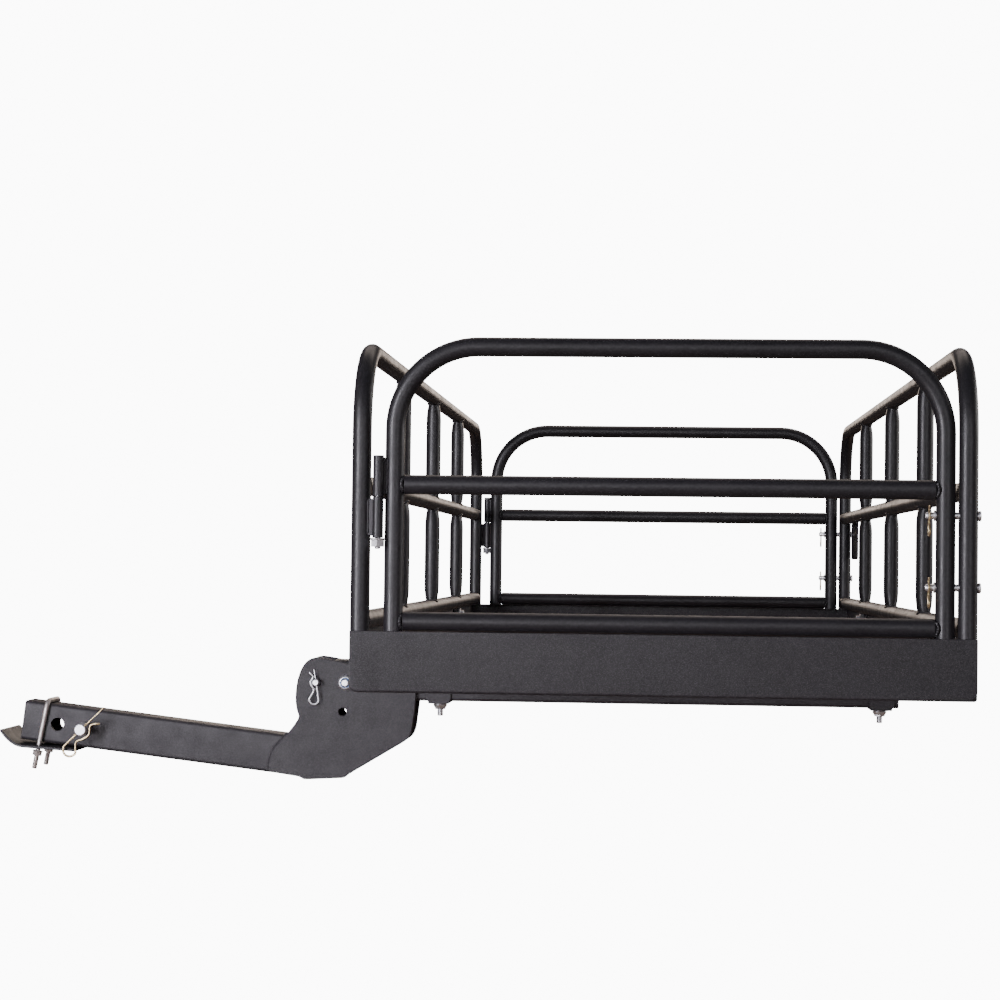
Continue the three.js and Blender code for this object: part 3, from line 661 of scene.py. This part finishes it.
def u_bolt():
    corner = 9.0
    inner = U_BOLT_LEG - corner
    crown = inner - U_BOLT_MIDDLE
    threads_from = U_BOLT_SEAT + 1
    bends = arc((-inner, crown), corner, math.pi, math.pi / 2, 10)
    bends += arc((inner, crown), corner, math.pi / 2, 0, 10)
    path = [(-U_BOLT_LEG, threads_from), *bends, (U_BOLT_LEG, threads_from)]
    shape = sweep([(0, y, z) for y, z in path], U_BOLT, (1, 0, 0), sides=24)
    for side in (-1, 1):
        shape += thread(U_BOLT + 0.2, 1.0, U_BOLT_FOOT, threads_from).moved(at(0, side * U_BOLT_LEG, 0))
    return shape.moved(u_bolt_frame)


add("u_bolt", u_bolt(), DULL_ZINC)
for end, side in NEAR_FAR:
    seat = u_bolt_frame @ at(0, side * U_BOLT_LEG, U_BOLT_SEAT) @ FLIP
    nut = hexagon(U_BOLT_ACROSS, 0, 6.5, U_BOLT + 0.1, flange=6.6)
    add(f"u_bolt_nut_{end}", nut.moved(seat), DULL_ZINC)


def hitch_pin():
    turn, radius = 44.0, 14.0
    path = [(0, HITCH_PIN_TIP), (0, HITCH_PIN_TIP + 1.5), (0, HITCH_PIN_TIP + 1.6), (0, turn - 0.1)]
    path += arc((radius, turn), radius, math.pi, math.pi / 2, 14)
    path += [(56.6, turn + radius), (58, turn + radius)]
    radii = [HITCH_PIN] * len(path)
    radii[0] = radii[-1] = HITCH_PIN - 1.4
    return sweep([(x, y, 0) for x, y in path], radii, (0, 0, 1), sides=36).moved(SHANK)


add("hitch_pin", hitch_pin(), ZINC)
hitch_clip_at = SHANK @ at(0, HITCH_PIN_TIP + 8, 0) @ Matrix.Rotation(HITCH_CLIP_TURN, 4, "Y")
add("hitch_pin_clip", hairpin(HITCH_PIN, 1.5, 41, 29, 8.5).moved(hitch_clip_at), YELLOW_ZINC)

# ---------- bracket plates, lock pin and pivot ----------
lock = middle("lock_pin")
pivot = middle("pivot_bolt")


def shank_weld(node, side):
    """The weld where a bracket plate's front edge lies on the shank's side."""
    loops, _ = face_loops(node, 1, side)
    low = corners(node)[0].x
    edge = sorted((p for p in loops[0] if p.x < low + 27 and p.y < 0), key=lambda p: p.y)
    path = []
    for a, b in zip(edge, edge[1:]):
        path += straight((a.x, side * SQUARE / 2, a.y), (b.x, side * SQUARE / 2, b.y))[:-1]
    return bead(path, (0, 1, 0), radius=2.6)


for end, side in NEAR_FAR:
    node = f"bracket_plate_{end}"
    add(node, cad_plate(node, 1, 5.0, 0.7, 3) + shank_weld(node, side), PLATE_COAT)

low, high = corners("lock_pin")
head = high.y
lock_profile = [
    (0.2, low.y), (LOCK_PIN - 1.4, low.y), (LOCK_PIN - 0.6, low.y + 0.6), (LOCK_PIN, low.y + 2),
    (LOCK_PIN, head - 5), (LOCK_PIN + 3.6, head - 5), (LOCK_PIN + 4, head - 4.6),
    (LOCK_PIN + 4, head - 1.6), (LOCK_PIN + 3, head - 0.6), (0.2, head),
]
add("lock_pin", turned(lock_profile).moved(at(lock.x, 0, lock.z) @ FLIP @ NEAR), ZINC)
lock_clip_at = at(lock.x, middle("lock_pin_clip").y, lock.z) @ Matrix.Rotation(LOCK_CLIP_TURN, 4, "Y")
lock_clip = hairpin(LOCK_PIN, 1.1, 17, 21.5, 6).moved(Matrix.Rotation(math.pi, 4, "Z"))
add("lock_pin_clip", lock_clip.moved(lock_clip_at), ZINC)

low, high = corners("pivot_bolt")
head_low = high.y - 6.5
bolt_end = thread(PIVOT, 1.5, low.y, low.y + 18)
bolt = bolt_end + turned([(PIVOT, low.y + 18), (PIVOT, head_low)]) + hexagon(M10_ACROSS, head_low, high.y)
add("pivot_bolt", bolt.moved(at(pivot.x, 0, pivot.z) @ FLIP @ NEAR), ZINC)

low, high = corners("pivot_nut")
nut_at = at(pivot.x, high.y, pivot.z) @ NEAR
collar = [(8.4, 6.6), (8.4, 8.4), (8.1, 9.2), (7.4, 9.7), (6.6, 9.8), (6.4, 9.2), (6.4, 6.6)]
nut = hexagon(M10_ACROSS, 0, 7.0, PIVOT + 0.1, flange=9.8) + turned(collar, 48, closed=True)
add("pivot_nut", nut.moved(nut_at), ZINC)
ring = [(6.4, 7.0), (6.4, 9.2), (5.9, 9.5), (5.3, 9.2), (5.1, 8.6), (5.1, 7.0)]
add("pivot_nut", turned(ring, 48, closed=True).moved(nut_at), NYLON, "nylon_ring", hides=False)


# ---------- beam and its clamps ----------
def lock_slot():
    """Room for the lock pin as the beam folds up, out through the tail's top wall."""
    room, end = LOCK_PIN + 0.5, math.pi * 0.62
    outline = arc((pivot.x, pivot.z), LOCK_RADIUS + room, math.pi, end, 12)
    outline += arc((pivot.x, pivot.z), LOCK_RADIUS - room, end, math.pi, 12)
    outline += arc((lock.x, lock.z), room, math.tau, math.pi, 12)[1:-1]
    return plate(outline, -SQUARE, SQUARE, lambda u, v, w: Vector((u, w, v)), bevel=0.01)


low, high = corners("main_beam")
beam_z = (low.z + high.z) / 2
pivot_hole = cross_rod(PIVOT + 0.4, pivot.x, pivot.z)
tail_corner = [(low.x - 1, high.z - TAIL_CUT), (low.x - 1, high.z + 1), (low.x + TAIL_CUT, high.z + 1)]
tail_cutter = plate(tail_corner, -SQUARE, SQUARE, lambda u, v, w: Vector((u, w, v)), bevel=0.01)
beam = drilled(square_tube(low.x, high.x, beam_z), pivot_hole, lock_slot(), tail_cutter)
add("main_beam", beam, PLATE_COAT)


def clamp_channel(node):
    """A channel that holds the beam from below: two flaps, joined under it by a folded web."""
    low, high = corners(node)
    flap, _ = face_loops(node, 1, -1)
    shape = Shape()
    for side in (-1, 1):
        outer = side * high.y
        inner = outer - side * CLAMP_THICK
        shape += plate(softened(flap[0], 3.0, 3), min(outer, inner), max(outer, inner),
                       lambda u, v, w: Vector((u, w, v)))
    web_low = (low.x + 2.5, 1.5 - high.y, low.z + 0.1)
    return shape + bevelled_box(web_low, (high.x - 2.5, high.y - 1.5, low.z + CLAMP_THICK))


for side in ("front", "rear"):
    add(f"clamp_plate_{side}", clamp_channel(f"clamp_plate_{side}"), PLATE_COAT)
    low, high = corners(f"beam_bolt_{side}")
    x = middle(f"beam_bolt_{side}").x
    head_z = high.z - BUTTON_HEIGHT
    shape = thread(BOLT, 1.25, low.z, low.z + 20) + turned([(BOLT, low.z + 20), (BOLT, head_z)])
    add(f"beam_bolt_{side}", (shape + button_head(head_z)).moved(at(x, 0, 0)), ZINC)
    seat = at(x, 0, corners(f"beam_nut_{side}")[1].z) @ FLIP
    skirt = [(6.4, 2), (9.1, 2), (9.0, 2.8), (7.6, 5.6), (7.0, 6.2), (6.4, 6.2)]
    skirt = turned(skirt, 48, closed=True)
    nut = hexagon(M8_ACROSS, 0, 8, BOLT + 0.1, flange=9.4) + skirt
    add(f"beam_nut_{side}", nut.moved(seat), ZINC)

# ---------- tray ----------
tray_low, tray_high = corners("rim_near")
rim_y = -tray_low.y
rim_bottom, rim_top = tray_low.z, tray_high.z


def rim_section(foot, reach):
    """An L section as (inward, up) points: the wall's top, the fold, and a flange of that reach."""
    radius = min(RIM_BEND, reach)
    inner = max(0.05, radius - RIM_WALL)
    tip = max(reach, RIM_WALL + 0.1)
    points = [(0.4, rim_top + RIM_BURR), (0, rim_top - 0.1)]
    points += arc((radius, foot + radius), radius, math.pi, math.pi * 1.5, 6)
    points += [(tip - 0.3, foot), (tip, foot + 0.4), (tip, foot + RIM_WALL - 0.4),
               (tip - 0.4, foot + RIM_WALL)]
    points += arc((RIM_WALL + inner, foot + RIM_WALL + inner), inner, math.pi * 1.5, math.pi, 4)
    return points + [(RIM_WALL, rim_top - 0.1), (RIM_WALL - 0.4, rim_top + RIM_BURR)]


def end_rim(side):
    """The near or far rim: its flange stops short of the long rims, its lower corners are round."""
    stations = []
    for k in range(7):
        angle = math.pi / 2 * k / 6
        stations.append((RIM_CORNER * (1 - math.cos(angle)), RIM_CORNER * (1 - math.sin(angle)), RIM_WALL))
    stations += [(RIM_FLANGE, 0, RIM_WALL), (RIM_FLANGE + GAP, 0, RIM_FLANGE)]
    along = [(tray_low.x + d, lift, reach) for d, lift, reach in stations]
    along += [(tray_high.x - d, lift, reach) for d, lift, reach in reversed(stations)]
    return loft([[(x, side * (rim_y - inward), up) for inward, up in rim_section(rim_bottom + lift, reach)]
                 for x, lift, reach in along])


def long_rim(side):
    """The front or rear rim, with a weld up the tray's corner at each end."""
    reach = rim_y - RIM_WALL - GAP
    outer = tray_high.x if side > 0 else tray_low.x
    section = rim_section(rim_bottom, RIM_FLANGE)
    rings = [[(outer - side * inward, y, up) for inward, up in section] for y in (-reach, reach)]
    shape = loft(rings)
    for end in (-1, 1):
        corner = (outer - side * (RIM_WALL + 0.6), end * (reach - 0.2))
        path = straight((*corner, rim_bottom + RIM_WALL), (*corner, rim_top - 3))
        shape += bead(path, (1, 0, 0), radius=1.6)
    return shape


for end, side in NEAR_FAR:
    add(f"rim_{end}", end_rim(side), TRAY_COAT)
for end, side in FRONT_REAR:
    add(f"rim_{end}", long_rim(side), TRAY_COAT)


def expanded_metal(low, high, bottom, top):
    """Zigzag strands that meet at flat knuckles."""
    shape = Shape()
    rows = round((high.x - low.x) / (MESH_SHORT / 2))
    pitch = (high.x - low.x) / rows
    count = round((high.y - low.y) / MESH_LONG)
    period = (high.y - low.y) / count
    swing = (pitch - STRAND) / 2 + 0.25
    run = KNUCKLE_RUN / 2
    for row in range(rows):
        centre = low.x + pitch * (row + 0.5)
        way = 1 if row % 2 else -1
        path = [(centre - way * swing, low.y)]
        for k in range(count):
            y = low.y + period * k
            path += [(centre - way * swing, y + run), (centre + way * swing, y + period / 2 - run),
                     (centre + way * swing, y + period / 2 + run), (centre - way * swing, y + period - run)]
        path.append((centre - way * swing, high.y))
        rings = [[(x - STRAND / 2, y, bottom + 0.2), (x + STRAND / 2 - 0.4, y, bottom),
                  (x + STRAND / 2, y, top - 0.3), (x - STRAND / 2 + 0.4, y, top)] for x, y in path]
        shape += loft(rings)
    return shape


def floor_panel():
    """The mesh, and two stiffening bars under it."""
    low, high = corners("floor_panel")
    flange_top = rim_bottom + RIM_WALL
    shape = expanded_metal(low, high, flange_top + GAP, high.z)
    for y in (-rim_y / 2, rim_y / 2):
        x0, x1 = tray_low.x + RIM_FLANGE + GAP, tray_high.x - RIM_FLANGE - GAP
        bar_low, bar_high = (x0, y - 12.5, low.z), (x1, y + 12.5, flange_top + GAP)
        shape += bevelled_box(bar_low, bar_high)
    return shape


add("floor_panel", floor_panel(), TRAY_COAT)

# ---------- hoops and rails ----------
mid_z = middle("near_gate_mid_rail").z
bottom_z = middle("near_gate_bottom_rail").z
top_z = corners("front_hoop")[1].z - TUBE
post_y = corners("front_hoop")[1].y - TUBE


def hoop(left, right, foot, place, up):
    """Two posts and a top rail, bent from one tube in the plane that place(u, v) gives."""
    shoulder = top_z - BEND
    path = [place(left, foot)]
    path += [place(*p) for p in arc((left + BEND, shoulder), BEND, math.pi, math.pi / 2, 24)]
    path += [place(*p) for p in arc((right - BEND, shoulder), BEND, math.pi / 2, 0, 24)]
    path += [place(right, foot)]
    return sweep(path, TUBE, up, sides=36, bore=TUBE_BORE)


def rail(start, end):
    """A rail cut square between two upright posts, with a short weld down each side of its ends."""
    start, end = Vector(start), Vector(end)
    along = (end - start).normalized()
    across = along.cross(Vector((0, 0, 1)))
    tip = along * (TUBE + GAP)
    broken = along * (TUBE + GAP + 0.5)
    path = [start + tip, start + broken, end - broken, end - tip]
    shape = sweep(path, [TUBE - 0.5, TUBE, TUBE, TUBE - 0.5], (0, 0, 1), sides=36, bore=TUBE_BORE)
    for origin, direction in ((start, along), (end, -along)):
        for side in (-1, 1):
            seam = []
            for k in range(25):
                angle = math.radians(-52 + 104 * k / 24)
                lateral = across * side * (TUBE - 1.2) * math.cos(angle)
                shift = math.sqrt(TUBE ** 2 - lateral.length_squared)
                reach = direction * (shift + TUBE + GAP) / 2
                seam.append(origin + lateral + reach + Vector((0, 0, (TUBE - 1.2) * math.sin(angle))))
            shape += bead(seam, across, radius=1.7)
    return shape


def spindle(x, y, low, high):
    """An upright between two rails: a tube pinched flat at both ends, notched at the pinch."""
    distances = [0, 4, 8, 12, 16, 20, 24, 27, SPINDLE_TAPER]
    length = high - low
    heights = [*distances, *[length - d for d in reversed(distances)]]
    sides = 36
    skins = []
    for wall in (0, TUBE - TUBE_BORE):
        rings = []
        for k, height in enumerate(heights):
            pinch = min(height, length - height, SPINDLE_TAPER) / SPINDLE_TAPER
            eased = max(0.0, (pinch - 0.25) / 0.75) ** 0.8
            wide = SPINDLE_NECK + (TUBE - SPINDLE_NECK) * math.sin(eased * math.pi / 2)
            deep = math.sqrt(2 * TUBE ** 2 - wide ** 2)
            points = []
            for i in range(sides):
                angle = math.tau * i / sides
                dx = (wide - wall) * math.cos(angle)
                dy = (deep - wall) * math.sin(angle)
                z = low + height
                if k in (0, len(heights) - 1):
                    way = 1 if k == 0 else -1
                    notch = SPINDLE_NOTCH if i in (sides // 4, sides * 3 // 4) else 0.0
                    z += way * (math.sqrt(TUBE ** 2 - dx ** 2) + notch)
                points.append((x + dx, y + dy, z))
            rings.append(points)
        skins.append(rings)
    shape = loft(skins[0] + skins[1][::-1], closed=True)
    deep = math.sqrt(2 * TUBE ** 2 - SPINDLE_NECK ** 2)
    for origin, way in ((low, 1), (high, -1)):
        for facing in (0, math.pi):
            path = []
            for i in range(27):
                angle = facing + math.radians(-65 + 5 * i)
                dx, dy = SPINDLE_NECK * math.cos(angle), deep * math.sin(angle)
                z = origin + way * (math.sqrt(TUBE ** 2 - dx ** 2) + 0.4)
                path.append((x + dx, y + dy, z))
            shape += bead(path, (0, 0, 1), radius=1.7)
    return shape


def bolt_tab(x0, x1, y):
    """A tab under the bottom rail, with the bolt's place at its middle."""
    low_z = rim_top - 21
    corner = 5.0
    left, right = y - TAB_HALF, y + TAB_HALF
    outline = [(left, rim_top + 4)]
    outline += arc((left + corner, low_z + corner), corner, math.pi, math.pi * 1.5, 6)
    outline += arc((right - corner, low_z + corner), corner, math.pi * 1.5, math.tau, 6)
    outline.append((right, rim_top + 4))
    shape = plate(outline, min(x0, x1), max(x0, x1), lambda u, v, w: Vector((w, u, v)))
    face = (x0 + x1) / 2
    seam = straight((face, left + 1, rim_top + 2.6), (face, right - 1, rim_top + 2.6))
    return shape + bead(seam, (1, 0, 0), radius=2.4)


def fastener_x(x, y, z, way):
    """A button-headed bolt through a rim from outside, its nut inside. `way` points inwards."""
    tab_face = RIM_WALL + 2 * GAP + TAB_THICK
    shape = button_head(GAP).moved(FLIP)
    shape += turned([(BOLT, -GAP), (BOLT, tab_face + 2)])
    shape += hexagon(M8_ACROSS, tab_face, tab_face + 6.5)
    shape += thread(BOLT, 1.25, 0, 8).moved(at(0, 0, tab_face + 12) @ FLIP)
    turn = TO_X if way > 0 else Matrix.Rotation(-math.pi / 2, 4, "Y")
    return shape.moved(at(x, y, z) @ turn)


for name, side in FRONT_REAR:
    x = middle(f"{name}_hoop").x
    foot = corners(f"{name}_hoop")[0].z
    add(f"{name}_hoop", hoop(-post_y, post_y, foot, lambda u, v: (x, u, v), (1, 0, 0)), TUBE_COAT)
    shape = rail((x, -post_y, mid_z), (x, post_y, mid_z))
    for y in SPINDLE_Y:
        shape += spindle(x, y, bottom_z, mid_z) + spindle(x, y, mid_z, top_z)
    add(f"{name}_spindles", shape, TUBE_COAT)
    shape = rail((x, -post_y, bottom_z), (x, post_y, bottom_z))
    outer = tray_high.x if side > 0 else tray_low.x
    inner_face = outer - side * (RIM_WALL + GAP)
    for end in ("near", "far"):
        bolt_at = middle(f"rail_bolt_{name}_{end}")
        shape += bolt_tab(inner_face, inner_face - side * TAB_THICK, bolt_at.y)
        bolt = fastener_x(outer, bolt_at.y, bolt_at.z, -side)
        add(f"rail_bolt_{name}_{end}", bolt, ZINC)
    add(f"{name}_bottom_rail", shape, TUBE_COAT)

add("licence_plate_bracket", cad_plate("licence_plate_bracket", 0, 3.0, 0.5), TUBE_COAT)


# ---------- end gates, hinges and latches ----------
def knuckle(node, post):
    """A hinge barrel with a lug to its post, welded down both sides."""
    low, high = corners(node)
    axis = middle(node.split("_")[0] + "_hinge_bolt")
    bore = HINGE_PIN + GAP
    profile = [(bore, low.z), (KNUCKLE - 0.5, low.z), (KNUCKLE, low.z + 0.5), (KNUCKLE, high.z - 0.5),
               (KNUCKLE - 0.5, high.z), (bore, high.z)]
    shape = turned(profile, 36, closed=True)
    towards = Vector((post[0] - axis.x, post[1] - axis.y))
    reach = towards.length - TUBE
    lug = bevelled_box((KNUCKLE - 1, -2.5, low.z + 2), (reach, 2.5, high.z - 2))
    for side in (-1, 1):
        lug += bead(straight((reach - 0.3, side * 3, low.z + 3), (reach - 0.3, side * 3, high.z - 3)),
                    (1, 0, 0), radius=1.0)
    shape += lug.moved(Matrix.Rotation(math.atan2(towards.y, towards.x), 4, "Z"))
    return shape.moved(at(axis.x, axis.y, 0))


def hinge_bolt(end):
    node = f"{end}_hinge_bolt"
    low, high = corners(node)
    axis = middle(node)
    barrel_low = corners(f"{end}_hinge_knuckle_lower")[0].z
    shape = turned([(HINGE_PIN, barrel_low - 2), (HINGE_PIN, high.z - 0.5), (HINGE_PIN - 0.5, high.z)])
    shape += hexagon(HINGE_ACROSS, 0, 8.5, flange=7.8).moved(at(0, 0, barrel_low - GAP) @ FLIP)
    shape += thread(HINGE_PIN, 1.0, low.z, barrel_low - 2)
    return shape.moved(at(axis.x, axis.y, 0))


for end, side in NEAR_FAR:
    low, high = corners(f"{end}_gate_hoop")
    left, right, y = low.x + TUBE, high.x - TUBE, side * post_y
    gate = hoop(left, right, bottom_z - TUBE, lambda u, v: (u, y, v), (0, 1, 0))
    add(f"{end}_gate_hoop", gate, TUBE_COAT)
    add(f"{end}_gate_mid_rail", rail((left, y, mid_z), (right, y, mid_z)), TUBE_COAT)
    add(f"{end}_gate_bottom_rail", rail((left, y, bottom_z), (right, y, bottom_z)), TUBE_COAT)
    front_post = middle("front_hoop").x
    rear_post = middle("rear_hoop").x
    add(f"{end}_hinge_knuckle_upper", knuckle(f"{end}_hinge_knuckle_upper", (left, y)), TUBE_COAT)
    add(f"{end}_hinge_knuckle_lower", knuckle(f"{end}_hinge_knuckle_lower", (front_post, y)), TUBE_COAT)
    add(f"{end}_hinge_bolt", hinge_bolt(end), ZINC)
    for level in ("upper", "lower"):
        # the pin through both posts: its head stays with the side, its tail swings with the gate
        head, tail = f"{end}_latch_head_{level}", f"{end}_latch_tail_{level}"
        z = middle(head).z
        low, high = corners(head)
        face = rear_post + TUBE + GAP
        profile = [(LATCH_PIN, low.x), (LATCH_PIN, face), (4.8, face), (5.2, face + 0.4), (5.2, face + 1.8),
                   (4.4, face + 2.6), (0.2, high.x)]
        add(head, turned(profile).moved(at(0, y, z) @ TO_X), ZINC)
        low, high = corners(tail)
        face = right - TUBE - GAP
        profile = [(LATCH_PIN - 1, low.x), (LATCH_PIN, low.x + 1.5), (LATCH_PIN, high.x)]
        washer = [(3.4, face - 1.4), (5.1, face - 1.4), (5.4, face - 1.1), (5.4, face - 0.3), (5.1, face),
                  (3.4, face)]
        shape = turned(profile) + turned(washer, 40, closed=True)
        add(tail, shape.moved(at(0, y, z) @ TO_X), ZINC)
        clip_at = at(face - CLIP_REACH, y, z) @ Matrix.Rotation(side * math.pi / 2, 4, "Z")
        add(f"{end}_latch_clip_{level}", hairpin(LATCH_PIN, 1.1, 8, 15, 4.5).moved(clip_at), YELLOW_ZINC)

# ---------- stage, light and camera ----------
FLOOR_HEIGHT = -0.45  # metres, as are all lengths from here on
STAGE_GLOW = 11.0  # what the camera sees of the floor and the backdrop


def seen_white(tree, shader):
    """The camera sees plain white, and everything else is lit by the shader."""
    nodes, links = tree.nodes, tree.links
    ray = nodes.new("ShaderNodeLightPath")
    white = nodes.new("ShaderNodeEmission" if shader.type != "BACKGROUND" else "ShaderNodeBackground")
    white.inputs["Color"].default_value = (1, 1, 1, 1)
    white.inputs["Strength"].default_value = STAGE_GLOW
    mix = nodes.new("ShaderNodeMixShader")
    links.new(ray.outputs["Is Camera Ray"], mix.inputs["Fac"])
    links.new(shader.outputs[0], mix.inputs[1])
    links.new(white.outputs[0], mix.inputs[2])
    return mix.outputs[0]


def stage_floor():
    mesh = bpy.data.meshes.new("studio_floor")
    size = 30.0
    around = [(-size, -size), (size, -size), (size, size), (-size, size)]
    mesh.from_pydata([(x, y, FLOOR_HEIGHT) for x, y in around], [], [(0, 1, 2, 3)])
    floor = bpy.data.objects.new("studio_floor", mesh)
    bpy.context.scene.collection.objects.link(floor)
    material = bpy.data.materials.new("studio_floor")
    material.use_nodes = True
    tree = material.node_tree
    shader = tree.nodes["Principled BSDF"]
    shader.inputs["Base Color"].default_value = (0.20, 0.145, 0.115, 1)
    shader.inputs["Roughness"].default_value = 0.9
    output = tree.nodes["Material Output"]
    tree.links.new(seen_white(tree, shader), output.inputs["Surface"])
    mesh.materials.append(material)


def studio_world():
    world = bpy.data.worlds.new("studio")
    bpy.context.scene.world = world
    world.use_nodes = True
    tree = world.node_tree
    shader = tree.nodes["Background"]
    direction = tree.nodes.new("ShaderNodeTexCoord")
    split = tree.nodes.new("ShaderNodeSeparateXYZ")
    tree.links.new(direction.outputs["Generated"], split.inputs[0])
    height = span(tree.nodes, tree.links, split.outputs["Z"], 0.0, 1.0, (-1.0, 1.0))
    colours = [(0.42, (0.42, 0.28, 0.20)), (0.58, (0.36, 0.31, 0.30)), (0.95, (0.26, 0.27, 0.32))]
    sky = ramp(tree.nodes, tree.links, height, colours)
    tree.links.new(sky, shader.inputs["Color"])
    shader.inputs["Strength"].default_value = 0.27
    output = tree.nodes["World Output"]
    tree.links.new(seen_white(tree, shader), output.inputs["Surface"])


def softbox(name, place, target, size, power, colour, spread=180):
    """A rectangular light of some watts that faces the target; spread is in degrees."""
    light = bpy.data.lights.new(name, "AREA")
    light.shape = "RECTANGLE"
    light.size, light.size_y = size
    light.energy = power
    light.color = colour
    light.spread = math.radians(spread)
    lamp = bpy.data.objects.new(name, light)
    lamp.location = place
    lamp.rotation_mode = "QUATERNION"
    lamp.rotation_quaternion = (Vector(place) - Vector(target)).to_track_quat("Z", "Y")
    bpy.context.scene.collection.objects.link(lamp)


def camera():
    """The camera's place, in metres, and its turn, tilt and roll."""
    place = Vector((0.7368, -3.0728, 0.2242))
    yaw, pitch, roll = (math.radians(a) for a in (3.766, 1.474, 0.718))
    ahead = Vector((-math.sin(yaw) * math.cos(pitch), math.cos(yaw) * math.cos(pitch), math.sin(pitch)))
    right = Vector((math.cos(yaw), math.sin(yaw), 0))
    up = right.cross(ahead)
    x = right * math.cos(roll) + up * math.sin(roll)
    y = up * math.cos(roll) - right * math.sin(roll)
    data = bpy.data.cameras.new("camera")
    data.sensor_width = 36.0
    data.lens = 85.26
    data.clip_end = 100
    viewer = bpy.data.objects.new("camera", data)
    turn = Matrix((x, y, -ahead)).transposed()
    viewer.matrix_world = Matrix.Translation(place) @ turn.to_4x4()
    bpy.context.scene.collection.objects.link(viewer)
    bpy.context.scene.camera = viewer


stage_floor()
studio_world()
TARGET = (0.6, 0.0, 0.2)
softbox("key_strip", (-1.35, -2.75, 0.5), TARGET, (0.45, 1.8), 110, (0.94, 0.92, 1.0))
softbox("front_light", (0.9, -3.9, 1.5), TARGET, (2.4, 1.1), 12, (0.97, 0.94, 1.0))
softbox("front_left_light", (-0.1, -3.7, 0.2), (0.32, 0.0, 0.05), (1.0, 0.8), 0.8, (0.97, 0.94, 1.0),
        spread=26)
softbox("right_fill", (2.2, -3.6, 0.4), TARGET, (0.8, 1.6), 15, (0.97, 0.95, 1.0))
softbox("back_light", (0.8, 3.6, 0.9), TARGET, (3.0, 0.8), 27, (1.0, 0.84, 0.72))
softbox("top_light", (0.7, 1.4, 2.6), TARGET, (2.6, 1.2), 20, (1.0, 0.87, 0.79))
softbox("rear_light", (4.2, 0.9, 1.1), TARGET, (3.0, 1.4), 60, (1.0, 0.97, 0.97))
camera()
